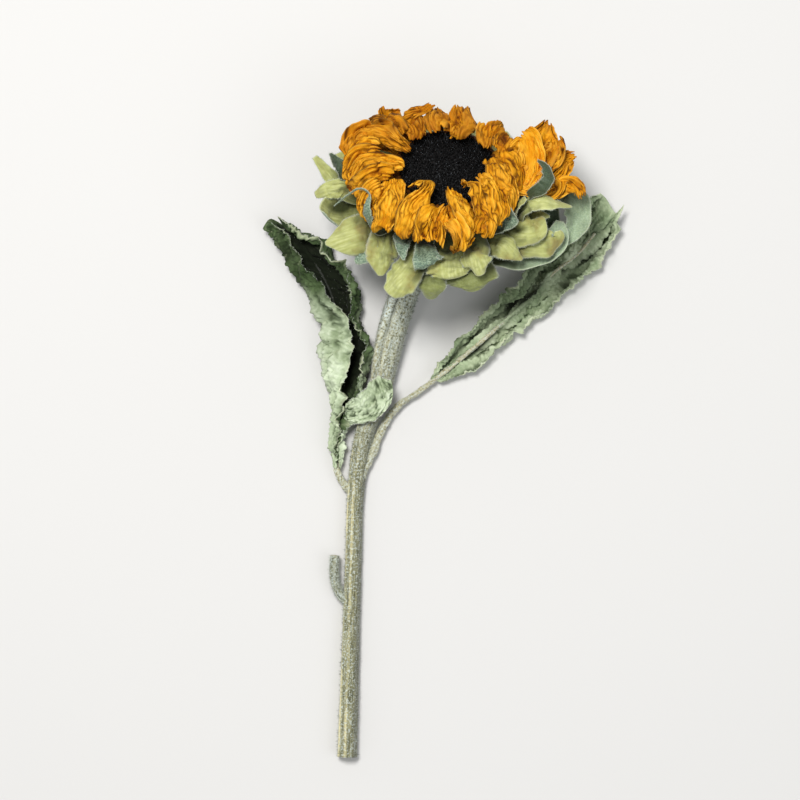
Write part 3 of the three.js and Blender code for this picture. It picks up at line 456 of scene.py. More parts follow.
# Each petal leaves the collar at an azimuth, rolls about its line by so many degrees and runs through points
# of x and y as seen from above, height over the disc's plane and half width. Most curl out and back over the
# disc; a flared one goes straight on. Narrowed is the share of the half width that is left, spacing the
# distance between pleats, and pleat to frill say how high each sort of fold stands. Petals that are flared
# or on the far side are worn: rougher and duller. Torn is the unevenness of the end.
petals = dict(root=25.4, rootHeight=-2.5, rootWidth=3.2, thickness=0.3, along=78, across=32, shingle=9,
              gutter=0.36, narrowed=0.9, spacing=2.35, pleat=1.2, fine=0.15, broad=2.2, cross=1.15,
              crease=0.85, frill=1.3, farSide=(15, 160), wornRough=1.25, wornDull=0.55, dull=0.12,
              torn=dict(curled=0.035, flared=0.09), rows=[
    [232, "curled", 12, [[-9.6, 81.9, 1, 5], [-6.7, 90, 9, 7], [-4.8, 99, 12, 7], [-3.9, 107.3, 8, 6],
        [-3, 107, 3.5, 3]]],
    [245, "curled", 20, [[1.9, 78.5, 0, 6], [3.4, 85.7, 6, 7.5], [6.3, 93.9, 10.5, 6.8], [12, 99.3, 12, 5],
        [14, 104.5, 10, 3.8], [9.7, 104.8, 8.5, 3], [3.9, 102, 7, 2]]],
    [255, "curled", 5, [[10.1, 76.6, -1, 5], [11.5, 82.7, 5, 6], [13.5, 89, 9, 5.5], [17.4, 93, 8, 4],
        [19.2, 92, 5, 1.5]]],
    [262, "curled", 6, [[17.3, 75.6, -1, 4], [17.8, 82.8, 4.5, 5], [19.3, 89.6, 7, 4.8],
        [22.2, 93.8, 5, 2.4]]],
    [268, "flared", 8, [[21.8, 92.4, 3, 4], [24, 85.6, 7, 5.6], [27, 79.3, 5, 4.8], [26.6, 74.1, -1, 3.2],
        [23.6, 70.4, -4, 2]]],
    [282, "curled", -6, [[32.3, 73.7, -1, 4.4], [34.1, 78.8, 4, 6], [33.6, 86.4, 9.5, 6.8],
        [29.3, 94.3, 13, 6], [25.6, 99.3, 12.5, 4.6], [23.2, 104.5, 9, 2.4]]],
    [297, "curled", -6, [[39, 79, 0, 5], [41.4, 87.6, 7, 6.5], [39.5, 96.4, 12, 5.6],
        [37.7, 102.8, 13.5, 5.2], [32.9, 106.6, 11, 4.2], [29, 102.8, 8, 2.6]]],
    [303, "curled", -20, [[43.5, 80.2, -1, 4.2], [45.3, 87.7, 5, 5.4], [44.3, 95, 9, 5], [42, 100, 8.5, 3]]],
    [308, "curled", -40, [[46.4, 84.1, 0, 5.2], [48.7, 91.6, 6, 7], [46.8, 99.9, 11, 7.6],
        [43.5, 106, 12, 6.8], [39.9, 110.5, 7.5, 5.4]]],
    [318, "curled", -56, [[52.5, 91.4, -2, 5.2], [53, 98.5, 4, 6.8], [50.6, 106.2, 10, 7.2],
        [48.1, 113.7, 12, 6.6], [46.5, 121.3, 8, 5.4]]],
    [335, "curled", -66, [[59.2, 102.2, -2, 5], [58.5, 108.2, 4, 6.6], [56.6, 114.6, 9, 6.8],
        [54.3, 120.7, 10, 6], [51, 124.5, 8, 6]]],
    [344, "curled", 40, [[62.7, 105.8, -2, 5], [64.6, 113.6, 3, 7], [65.2, 121.5, 8, 7.6],
        [63.2, 128.9, 12, 6.4], [59.3, 130.9, 11, 5]]],
    [358, "flared", 34, [[59.1, 115.2, -1, 6.5], [66.5, 120.4, 4, 9.4], [69.4, 128.7, 9, 8.6],
        [71.8, 134.6, 12, 5], [73.4, 139.6, 14, 2]]],
    [0, "flared", 36, [[66.4, 112.1, -2, 5], [72, 116.4, 2, 6.4], [76, 121.7, 6, 6.6], [77, 127, 9, 5],
        [75.4, 131, 11, 2]]],
    [345, "flared", 30, [[72.4, 102.8, -2, 5], [76.4, 109.7, 1, 6.4], [79.9, 116.1, 4, 6],
        [83.4, 120.1, 6, 4], [86.8, 121.1, 6, 2.4]]],
    [340, "flared", 30, [[68, 101, -4, 4.4], [74.9, 102.9, -3, 5], [81.9, 105.9, -2, 5.4],
        [87.2, 103.9, -3, 4.8], [88.6, 98.9, -5, 2.6]]],
    [20, "curled", 0, [[56.8, 126.8, 4, 5.6], [53, 129.7, 10, 7], [50.4, 125.7, 12, 6.6],
        [48.9, 120.8, 9, 4.4]]],
    [40, "curled", 0, [[48, 134.6, 4, 6], [44.8, 135, 10, 7], [42.2, 129.9, 12, 6.4], [42.2, 123.7, 7, 3.2]]],
    [10, "curled", -20, [[62.6, 123.2, 2, 4.6], [59.4, 127.2, 8, 5.4], [56.8, 125.9, 10, 4.8],
        [54.3, 123, 9, 3]]],
    [70, "curled", -26, [[31.5, 141, 4, 4.5], [30, 143.5, 10, 5], [28.5, 138, 12.5, 8], [27, 132, 10.5, 8],
        [26.3, 127.5, 6.5, 5.5]]],
    [98, "curled", -8, [[16.5, 142, 3, 4.4], [17.4, 143.5, 8, 5], [17.6, 138.5, 10.5, 7],
        [17.4, 131.5, 8.5, 7.4]]],
    [118, "curled", 45, [[4, 138.7, 3, 4.2], [5.4, 141, 9, 4.6], [11.4, 143, 12, 3.4], [17.6, 146, 14, 1.6]]],
    [121, "curled", -16, [[4.5, 139.5, 3, 5], [5.9, 139.2, 10, 6.2], [7.4, 133.1, 12, 6.2],
        [7.4, 126.8, 7, 4.6]]],
    [131, "flared", -20, [[-4.5, 134, -2, 5.6], [-5.6, 139, 1, 6.6], [-5.8, 143, 5, 7],
        [-5.6, 146, 7.5, 6.4]]],
    [146, "curled", 26, [[-14.9, 132.7, 3, 6], [-9.4, 135, 10, 7.4], [-2.9, 133.5, 13, 7],
        [1.5, 129, 10, 5]]],
    [154, "curled", 16, [[-19.8, 128.5, 2, 6], [-12.8, 131.2, 10, 7], [-5.9, 128.7, 13, 6.4],
        [0, 124.9, 10, 4.4], [6.4, 121.2, 6, 1]]],
    [152, "flared", 0, [[-11.5, 130, 4, 5.6], [-17, 132, 9, 6], [-22.4, 128.6, 8, 5.8],
        [-24.2, 122.6, 4, 5.2], [-24.6, 116.5, -1, 3.4]]],
    [176, "curled", 48, [[-25, 112, -1, 5], [-25, 118.7, 5, 5], [-21, 123.7, 11, 5.6],
        [-15.6, 125.1, 13, 5.4], [-10.2, 122, 11, 4]]],
    [186, "curled", 50, [[-24, 106.7, 0, 4.6], [-24.5, 113.4, 6, 5], [-21, 118, 12, 5.2],
        [-14.6, 119.6, 13.5, 5], [-6.8, 119.4, 10, 3.4]]],
    [192, "curled", 36, [[-23.5, 104.2, -1, 5.4], [-21.5, 109.7, 6, 5.8], [-16, 114.4, 12, 6.2],
        [-7.8, 116, 13, 6], [-1.5, 114.6, 9, 4.6], [0, 112.4, 6, 3]]],
    [203, "curled", 38, [[-21.9, 97.5, -1, 5.4], [-19.4, 103, 6, 6.2], [-14.1, 107.6, 12, 6.4],
        [-7.3, 109.6, 12.5, 6], [-1.9, 109.1, 8, 3]]],
    [217, "curled", 40, [[-18, 91.4, -1, 4.6], [-16.5, 96.9, 6, 5.4], [-13, 101.5, 11, 5.6],
        [-8.2, 104.5, 9, 4]]],
    [225, "curled", 38, [[-14.1, 86.3, -1, 4.4], [-12.1, 92.9, 5, 5], [-9.2, 100, 8, 4]]]
])


def petalPoints(azimuth, kind, roll, points):
    # The root on the collar, a low point on the way out where the petal is curled, then its own points
    root = onHead(petals["root"], radians(azimuth), petals["rootHeight"])
    places = [seenAt(x, y, height) for x, y, height, halfWidth in points]
    line = [[*root, petals["rootWidth"], 0]]
    if kind == "curled":
        low = 0.45 * root + 0.55 * places[0] - 1.2 * axis
        line.append([*low, 0.5 * (petals["rootWidth"] + points[0][3]), 0.3 * roll])
    turns = [0.6 * roll] + [roll] * (len(points) - 1)
    return line + [[*place, point[3], turn] for place, point, turn in zip(places, points, turns)]


def petal(index, row, material):
    # A gutter along its line with broad lengthwise folds, pleats with sharp valleys and finer pleats between
    # them, which all wander, cross buckles, slanting creases, frilled edges and an uneven end
    seed = 100 + 20 * index
    far = petals["farSide"][0] < row[0] < petals["farSide"][1]
    flared = row[1] == "flared"
    worn = far or flared
    here, side, up, halfWidth = carriedAlong(petalPoints(*row), petals["along"], axis)
    a, b = bladeSteps(petals["along"], petals["across"])
    steps = np.linalg.norm(np.diff(here, axis=0), axis=1)
    x = np.concatenate([[0], np.cumsum(steps)])[:, None]
    swing = np.clip(a * 5, 0.15, 1) * (1 - 0.35 * climb(a, 0.85, 0.15))
    edge = np.sign(b) + 2
    wide = 1 + 0.14 * noise(seed + 4, x / 9, edge) + 0.08 * noise(seed + 12, x / 3.5, edge)
    wide = petals["narrowed"] * halfWidth * wide
    y = b * wide

    # The pleats follow places across that don't narrow with the petal, so they draw together at its ends
    even = b * halfWidth.max()
    even = even + 1.5 * noise(seed + 17, even / 3.4, x / 26)
    wander = 1.2 * noise(seed + 6, x / 8.5, even / 3.6) + 0.3 * noise(seed + 8, x / 4, even / 2)
    ridge = np.abs(np.cos(pi * (even / petals["spacing"] + 1.05 * wander + draw(index, 2))))
    merging = 2.6 * np.abs(noise(seed + 21, (even + 0.9 * wander) / 2.3, (x + 1.5 * wander) / 5.2))
    ridge = np.minimum(ridge, 0.12 + merging)
    pleat = (2 * ridge - 1.2) * np.clip(0.8 + 0.7 * noise(seed + 5, x / 9, y / 3), 0.1, 1.5)
    thin = noise(seed + 7, (even + 0.7 * wander) / 0.95, x / 8)
    fine = 2 * np.abs(thin) ** 0.6 - 0.95
    broad = noise(seed + 10, (y + 0.8 * wander) / 4.6, x / 12)
    buckle = noise(seed + 9, x / 4.6, y / 4)
    slant = np.abs(noise(seed + 18, (x + 0.8 * y) / 3.6, (y - 0.5 * x) / 4.4 + 0.3 * wander))
    creased = np.clip(0.3 + 1.6 * noise(seed + 19, x / 9, y / 6), 0, 1)
    crease = creased * (1.7 * np.minimum(slant, 0.5) - 0.5)
    frill = petals["frill"] * np.abs(b) ** 3 * noise(seed + 11, x / 4, edge)
    height = petals["broad"] * broad + petals["cross"] * buckle + frill - petals["pleat"] * pleat
    height = height - petals["fine"] * fine - petals["crease"] * crease
    rough = petals["wornRough"] if worn else 1
    lift = petals["gutter"] * wide * b ** 2 + rough * swing * height
    roll = radians(petals["shingle"]) + 0.22 * noise(seed + 3, x / 16, 0)
    roll = roll + radians(16 * (draw(index, 1) - 0.5)) * a
    sideways = y + swing * (0.8 * noise(seed + 13, x / 8, y / 6) + 0.4 * noise(seed + 14, x / 3.2, y / 3))
    grid = swept(here, np.cos(roll) * side + np.sin(roll) * up, np.cos(roll) * up - np.sin(roll) * side,
                 sideways, lift)
    grid = drawnBack(grid, 1 - 0.05 * b ** 2 - petals["torn"][row[1]] * (1 + noise(seed + 16, 0, 5 * b)))

    # Painted shade: dark lines in the valleys, and darkness at the root and along one edge, under the next
    # petal
    weight = np.clip(0.8 + 0.9 * noise(seed + 15, x / 10, y / 5), 0, 1)
    valleyShade = weight * (bell(ridge, 0, 0.4) + 0.22 * bell(thin, 0, 0.16))
    valleyShade = valleyShade + 0.65 * creased * bell(slant, 0, 0.09) + np.minimum(climb(a, 0.3, -0.15), 0.8)
    valleyShade = valleyShade + 0.7 * climb(-b, 0.8, 0.2) * np.clip(0.6 + noise(seed + 22, x / 7, b), 0, 1)
    faceValleyShade = weight * bell(ridge, 1, 0.17) if flared else 0
    # The relief is kept for painting highlight on the ridges and shade on the slopes
    relief = 0.25 * pleat + 0.14 * fine - 0.25 * broad + 0.3 * crease
    age = petals["wornDull"] if worn else petals["dull"]
    age = age + 0.6 * climb(a, 0.93, 0.07) + 0.9 * climb(a, 0.35, -0.2)
    fields = dict(foldLight=(0.5 - relief, 0.5 + relief), valleyShade=(faceValleyShade, np.clip(valleyShade, 0, 1)),
                  tint=0.2 * draw(index, 5) + (0.3 if far else 0), margin=climb(np.abs(b), 0.9, 0.1),
                  age=np.clip(age, 0, 1))
    thickness = petals["thickness"] * (1 - 0.5 * np.abs(b) ** 8)
    blade(f"petal{index + 1:02d}", grid, thickness, material, "ray_petals", fields, ownMap(y, x))


def collar(material):
    # The row of ray floret bases: a low ring round the disc, closed on itself both ways, whose top is
    # ribbed. Its profile is rows of radius, height and the ribs' height.
    ring = dict(inner=22.6, crest=24.8, outer=27.0, bottom=-3.6, top=-1.2, ribs=60)
    turn = np.linspace(0, 2 * pi, 6 * ring["ribs"], endpoint=False)
    profile = np.array([[ring["inner"], ring["bottom"], 0], [ring["outer"], ring["bottom"], 0],
                        [ring["outer"] - 0.1, ring["top"] - 0.7, 0.2], [ring["crest"], ring["top"], 0.5],
                        [ring["inner"], ring["top"] - 0.3, 0.4]])
    radius, height, ribbed = profile.T[..., None]
    points = onHead(radius, turn, height + ribbed * np.cos(ring["ribs"] * turn))
    faces = gridFaces(len(profile) + 1, len(turn), closed=True) % (len(profile) * len(turn))
    makePiece("rayCollar", points, [faces[:, ::-1]], material, "ray_petals")


# Bracts and the receptacle that they grow from

# Each bract leaves the cup at an azimuth and a height, then runs through points of x, y, z, half width
# and roll. Tone 0 shows the yellow-green inner face, 1 the grey-green outer face, 2 is olive, 3 dark green,
# 4 the inner face with painted shade in a hollow and 5 pale sage. Cup bends both edges, up where positive.
bracts = dict(root=22, rootWidth=8, thickness=0.42, along=44, across=22, farCup=0.15,
              hollowShade=[[0.66, -0.55, 0.24, 0.5, 1.3]], rows=[
    [170, -14, 0, 0.2, [[-20.8, 104.2, 41, 4.5, 0], [-29.8, 107.6, 42, 4.8, -10], [-36.7, 114.1, 43, 3, -20],
        [-42.2, 120.5, 45, 1.4, -30]]],
    [160, -12, 3, 0.3, [[-21.8, 110.8, 46, 3.5, 0], [-29.2, 113.8, 48, 4.6, 20], [-33, 119.5, 47, 2.2, 30],
        [-34.5, 122, 46, 0.6, 30]]],
    [182, -13, 0, -0.3, [[-19.8, 101, 45, 5, -10], [-28.2, 104.4, 48, 5.2, -20],
        [-35.6, 103.9, 47, 4.4, -20], [-42.1, 101.5, 42, 1.6, -10]]],
    [191, -17, 4, 0.75, [[-15.8, 94.5, 38, 7, 0], [-24, 92, 36, 9.5, 5], [-33, 91.5, 40, 8.6, 12],
        [-39.8, 95.5, 46, 4.5, 20]]],
    [215, -10, 1, 0.35, [[-9.5, 81, 70, 1.5, 0], [-15.2, 86.5, 74, 4.4, 15], [-17, 92, 78, 3.8, 20],
        [-15.5, 98.5, 81, 1.8, 20], [-19, 101.8, 81, 1.1, 10], [-25, 99.5, 76, 0.8, 0],
        [-32, 94.5, 68, 0.4, 0]]],
    [208, -14, 0, -0.4, [[-11.5, 85.5, 57, 8, 0], [-19, 82.8, 60, 9.6, 0], [-27.5, 80, 58.5, 9.2, 5],
        [-36.8, 77.1, 54, 1, 10]]],
    [225, -18, 1, 0.2, [[-12.7, 76.4, 56, 4.5, 0], [-18.1, 70.6, 58, 4.5, 20], [-22, 67.6, 56, 0.8, 40]]],
    [238, -13, 0, -0.4, [[-4, 81.5, 63, 7.5, 0], [-6.8, 74.5, 68, 9, -5], [-7.8, 68, 69, 8, -5],
        [-9.3, 60.5, 66, 1.4, 0]]],
    [245, -8, 1, 0.3, [[1, 78.7, 68, 4, 0], [0.8, 74.5, 72, 3.6, 15], [1.8, 68, 72.5, 0.4, 30]]],
    [250, -17, 0, -0.4, [[8, 70.5, 64, 7, 0], [3.5, 62.5, 69, 8.4, 8], [-1.5, 56.5, 69.5, 7.8, 8],
        [-5.5, 51.5, 66, 4, 0]]],
    [259, -8, 1, -0.2, [[12.6, 78.6, 69, 4.5, 0], [13, 73.2, 74, 5.8, 0], [13.6, 67.5, 74.5, 7.4, 5],
        [14, 65.8, 73, 7.2, 5], [14.2, 67.5, 71.5, 5, 0]]],
    [266, -19, 2, -0.5, [[16.6, 65.9, 61, 5.5, 0], [15.6, 58.5, 66, 6.4, 10], [15.6, 53.2, 66, 5.9, 10],
        [15.6, 49.3, 61, 2.6, 0]]],
    [272, -14, 0, -0.25, [[25, 74, 65, 9, 0], [25, 67, 69.5, 12, -4], [25.5, 62, 69, 11.4, -4],
        [26, 59.2, 66.5, 7, -4]]],
    [286, -19, 2, -0.4, [[33, 72, 58, 9, 0], [34.5, 62, 63, 12.8, 0], [35.5, 56, 63, 10.8, 5],
        [36.5, 53.2, 60, 4.5, 5]]],
    [291, -11, 0, -0.7, [[36.5, 77.8, 68, 6, 0], [35.3, 71, 74.5, 7.4, 0], [36.8, 65.2, 76, 6.4, 10],
        [38.6, 60.2, 73, 2.4, 10]]],
    [311, -13, 0, -0.5, [[42.1, 79.2, 60, 7, 0], [49.5, 77, 64.5, 7.4, 0], [55, 73, 65, 5.2, 0],
        [60, 68.8, 61, 0.8, 0]]],
    [324, -15, 0, -0.3, [[52, 86, 57, 8, 0], [60, 83.5, 61, 9, 0], [66.5, 84.5, 62, 6.8, 0],
        [70.2, 89.8, 60.5, 0.8, 0]]],
    [320, -17, 0, -0.3, [[54, 80, 53, 8, 0], [63, 77.5, 58, 8, 0], [71.5, 77, 58.5, 6.8, 8],
        [77.6, 79.5, 57, 4, 30], [77.5, 83, 58.5, 1.5, 50]]],
    [308, -21, 5, 0.25, [[40, 74, 51, 4.5, 0], [50, 71, 52, 6, 0], [60, 70.5, 51, 6.8, 0],
        [70, 74, 49.5, 7.4, 0], [77, 80, 48.5, 6.8, 0], [79, 88.5, 47, 2, 0]]],
    [342, -12, 0, -0.45, [[56.5, 92.3, 58, 5, 0], [63.5, 97.5, 65, 5.8, -12], [72.3, 98, 66, 5.2, -15],
        [84.4, 94.9, 58, 0.6, -10]]],
    [332, -10, 0, -0.3, [[54.5, 91, 61, 3.4, 0], [57.5, 95.5, 66, 3.8, 0], [61, 99, 67.5, 2, 0]]],
    [338, -15, 0, 0.1, [[60, 89, 53, 3.8, 0], [67, 90.5, 56, 3.6, 0], [73.5, 90, 57, 0.5, 0]]],
    [334, -8, 1, 0.3, [[43.9, 82.9, 64, 2.5, 20], [50.2, 84.4, 68, 3.5, 40], [54.6, 88.8, 71, 4.5, 60],
        [52.7, 94.1, 75, 0.6, 60]]],
    [350, -9, 3, 0.3, [[59.5, 99.6, 60, 2.2, 0], [64.5, 100.6, 66, 3, 10], [69.8, 103, 69.5, 3.4, 20],
        [72.6, 108, 71, 3.2, 20], [71.2, 113.4, 71, 2.4, 10], [67, 116.8, 69, 0.6, 0]]],
    [350, -14, 5, 0.25, [[74, 104, 47, 4.5, 0], [84, 101, 45, 6.8, 0], [87.5, 91.5, 43, 7, 0],
        [84, 82, 43.5, 4.6, 0], [81.5, 77.5, 45, 1.5, 0]]],
    [334, -21, 3, 0.1, [[57, 92, 44, 10, 0], [68, 92, 41, 11, 0], [79, 93, 40, 6, 0]]]
])

# The bracts behind the head, one row each: azimuth, root height, tip radius, tip height, belly height,
# half width and roll
farBracts = [
    [14, -16, 66, -24, -20, 10, 10], [31, -15, 61, -25, -21, 9, -10], [50, -16, 58, -27, -21, 10, 5],
    [68, -14, 57.5, -27.4, -19, 9, 10], [85, -16, 57, -27.2, -21, 9.5, -5], [101, -14, 57, -27.4, -20, 9, 5],
    [118, -16, 57.4, -27, -21, 9.5, 8], [135, -14, 59, -25, -20, 9, -8], [151, -15, 62, -20, -19, 7.5, -20]]


def outwardPoints(azimuth, rootHeight, tipRadius, tipHeight, belly, halfWidth, roll):
    # Points out from the cup to the tip, sinking to the belly on the way
    stations = [(0.35, belly, 0.95), (0.72, belly + 0.55 * (tipHeight - belly), 0.9), (1, tipHeight, 0.08)]
    reach = tipRadius - bracts["root"]
    return [[*onHead(bracts["root"] + part * reach, radians(azimuth + 6 * part), height), wide * halfWidth,
             roll * part] for part, height, wide in stations]


def bract(index, row, material):
    # A ribbon along its points, bent at both edges, with faint veins, a soft buckle, folds and a waved margin
    azimuth, rootHeight, tone, cup, points = row
    seed = 2000 + 20 * index
    root = [*onHead(bracts["root"], radians(azimuth), rootHeight), bracts["rootWidth"], 0]
    here, side, up, halfWidth = carriedAlong([root, *points], bracts["along"], upward)
    a, b = bladeSteps(bracts["along"], bracts["across"])
    edge = np.sign(b) + 2
    swing = np.sin(pi * a)
    x = a * len(points) * 10
    y = b * halfWidth
    warp = 0.5 * noise(seed + 5, x / 3, y / 4)
    buckle = (noise(seed + 1, y / 6, x / 9) + 0.85 * folds(seed + 2, y / 3.6 + warp, x / 7)
              + 0.45 * folds(seed + 7, y / 2.6 - warp, x / 2.8 + warp))
    margin = np.abs(b) ** 5 * (0.8 * noise(seed + 3, x / 3.5, edge) + 0.3)
    veins = 0.025 * np.cos(1.9 * pi * y) * swing
    strength = swing ** 0.6 * np.clip(halfWidth / 5, 0.2, 1)
    lift = cup * halfWidth * b ** 2 + veins + strength * (buckle + margin)
    sideways = y * (1 + 0.08 * noise(seed + 4, x / 4, edge)) + 0.5 * swing * noise(seed + 6, x / 6, 0)
    grid = swept(here, side, up, sideways, lift)
    grid[..., 2] = np.maximum(grid[..., 2], bracts["thickness"] / 2 + 0.05)
    # Painted shade: darker towards the root and along the buckles' folds
    shade = 0.85 * climb(0.58 + 0.1 * noise(seed + 8, y / 3, 0) - a, 0, 0.34)
    shade = shade + swing * np.clip(0.35 * np.abs(buckle) - 0.12, 0, 0.35)
    # Tone 4 gets painted shade in its hollow
    if tone == 4:
        shade = np.maximum(shade, patches(bracts["hollowShade"], a, b))
    rim = np.clip(climb(np.abs(b), 0.9, 0.08) + climb(a, 0.975, 0.025), 0, 1)
    fields = dict(margin=0.4 * rim, shade=np.clip(shade, 0, 1), inner=(float(tone in (0, 4)), 0.0),
                  olive=float(tone == 2), dark=float(tone == 3), sage=float(tone == 5))
    thickness = bracts["thickness"] * (1 - 0.5 * np.abs(b) ** 6)
    blade(f"bract{index + 1:02d}", grid, thickness, material, "involucre", fields,
          ownMap(sideways, x))
    return grid


# Down on the blades: how many hairs stand on each edge and each face, where along the edge they begin, their
# lengths and their radius
bractDown = dict(perEdge=180, onFace=160, start=0.25, edgeLength=1, faceLength=0.7, radius=0.05)
leafDown = dict(perEdge=900, onFace=400, start=0.02, edgeLength=0.8, faceLength=0.5, radius=0.045)


def bladeHairs(name, grids, look, material, node):
    # Fine pale hairs that stand out from the blades' margins, and shorter ones over their backs
    rng = np.random.default_rng(7)
    roots, directions, lengths = [], [], []
    for grid in grids:
        normals = gridNormals(grid)
        rows, columns = grid.shape[:2]
        for column, inside in ((0, 1), (columns - 1, columns - 2)):
            i = rng.uniform(look["start"], 1, look["perEdge"]) ** 0.8 * (rows - 1.01)
            low, part = i.astype(int), (i % 1)[:, None]
            place = grid[low, column] * (1 - part) + grid[low + 1, column] * part
            out = unit(place - grid[low, inside])
            roots.append(place)
            directions.append(out + 0.6 * rng.normal(size=out.shape))
            lengths.append(look["edgeLength"] * rng.uniform(0.5, 1.2, len(place)))
        i = rng.integers(rows // 4, rows - 2, look["onFace"])
        j = rng.integers(1, columns - 1, look["onFace"])
        roots.append(grid[i, j] - 0.2 * normals[i, j])
        directions.append(-normals[i, j] + 0.7 * rng.normal(size=(len(i), 3)))
        lengths.append(look["faceLength"] * rng.uniform(0.5, 1.2, len(i)))
    hairs(name, np.concatenate(roots), np.concatenate(directions), np.concatenate(lengths), look["radius"],
          material, node)


def receptacle(material):
    # A cup turned about the head's axis, from the neck to the rim under the disc, with soft ribs. Pole is
    # the radius of the small rings that its ends close on.
    cup = dict(neck=7.2, neckHeight=-24, rim=27.0, rimHeight=-4, ribs=26, ribDepth=0.35, around=200, rows=26,
               shade=0.25, pole=0.01)
    t = np.linspace(0, pi / 2, cup["rows"])
    radius = cup["neck"] + (cup["rim"] - cup["neck"]) * np.sin(t)
    height = cup["neckHeight"] + (cup["rimHeight"] - 2 - cup["neckHeight"]) * (1 - np.cos(t))
    radius = np.concatenate([[cup["pole"], cup["neck"] * 0.6], radius,
                             [cup["rim"] - 0.4, cup["rim"] * 0.6, cup["pole"]]])[:, None]
    height = np.concatenate([[cup["neckHeight"]] * 2, height, [cup["rimHeight"]] * 3])[:, None]
    turn = np.linspace(0, 2 * pi, cup["around"], endpoint=False)
    swell = np.zeros(radius.shape)
    swell[4:-4] = cup["ribDepth"]
    ribs = swell * (np.cos(cup["ribs"] * turn) + 1.2 * noise(31, height, 9 * turn / pi))
    points = onHead(radius + ribs, turn, height)
    faces = [part[:, ::-1] for part in turnedFaces(len(radius), len(turn))]
    makePiece("receptacle", points, faces, material, "involucre",
              dict(shade=np.full(points.shape[:2], cup["shade"])), ownMap(points[..., 0], points[..., 2]))


# Seed disc

disc = dict(florets=1050, radius=23.6, dome=1.6, foot=-3.7, height=1.5, width=0.78, golden=137.508, bed=23.2,
            rough=0.25)


def domeHeight(radius):
    return disc["dome"] * (1 - (radius / disc["radius"]) ** 2)


def florets(material):
    # Five-sided spikes at the golden angle, each floret's radius growing as the root of its number. Rings
    # give a floret's width and height at each level, as shares.
    sides, rings = 5, ((0.75, 0), (1.0, 0.5), (0.62, 0.85), (0.2, 1.25))
    n = np.arange(disc["florets"]) + 0.5
    rng = np.random.default_rng(11)
    radius = disc["radius"] * np.sqrt(n / disc["florets"])
    root = onHead(radius, np.radians(disc["golden"]) * n, domeHeight(radius) - 0.9)
    lean = unit(axis + 0.25 * rng.normal(size=root.shape) + 0.25 * (root - discCentre) / disc["radius"])
    side = unit(np.cross(lean, behind))
    other = np.cross(lean, side)
    tall = disc["height"] * rng.uniform(0.75, 1.25, len(n)) * (1 + 0.5 * (radius / disc["radius"]) ** 6)
    points = []
    for width, rise in rings:
        for turn in np.arange(sides) * 2 * pi / sides:
            out = side * cos(turn) + other * sin(turn)
            points.append(root + out * (disc["width"] * 0.5 * width) + lean * (tall * rise + 0.4)[:, None])
    base = np.arange(len(n))[:, None] * len(points)
    cells = gridFaces(len(rings), sides, closed=True)[:, ::-1]
    walls = (base + np.roll(cells, 1, axis=1)[:, None]).reshape(-1, 4)
    ring = np.arange(sides)
    caps = np.concatenate([base + len(points) - sides + ring, base + ring[::-1]])
    makePiece("discFlorets", np.stack(points, 1), [walls, caps], material, "disc")


def discBed(material):
    # The bed under the florets: a low dome with a straight rim, roughened by noise
    turn = np.linspace(0, 2 * pi, 160, endpoint=False)
    top = np.linspace(0.02, disc["bed"], 40)
    radius = np.concatenate([top, [disc["bed"] + 0.1, 15, 0.02]])[:, None]
    height = np.concatenate([domeHeight(top) - 0.5, [disc["foot"]] * 3])[:, None]
    rough = np.zeros(radius.shape)
    rough[1:len(top) - 1] = disc["rough"]
    points = onHead(radius, turn, height + rough * noise(5, radius * 1.1, 24 * turn / pi))
    faces = turnedFaces(len(radius), len(turn))
    makePiece("discBed", points, faces, material, "disc")


def bristles(name, count, lengths, radius, material, seed):
    # Thin bristles all over the disc, standing nearly along its axis
    rng = np.random.default_rng(seed)
    place = disc["radius"] * np.sqrt(rng.uniform(0, 1, count))
    roots = onHead(place, rng.uniform(0, 2 * pi, count), domeHeight(place) + 0.4)
    directions = axis + 0.5 * rng.normal(size=(count, 3))
    hairs(name, roots, directions, rng.uniform(*lengths, count), radius, material, "disc")
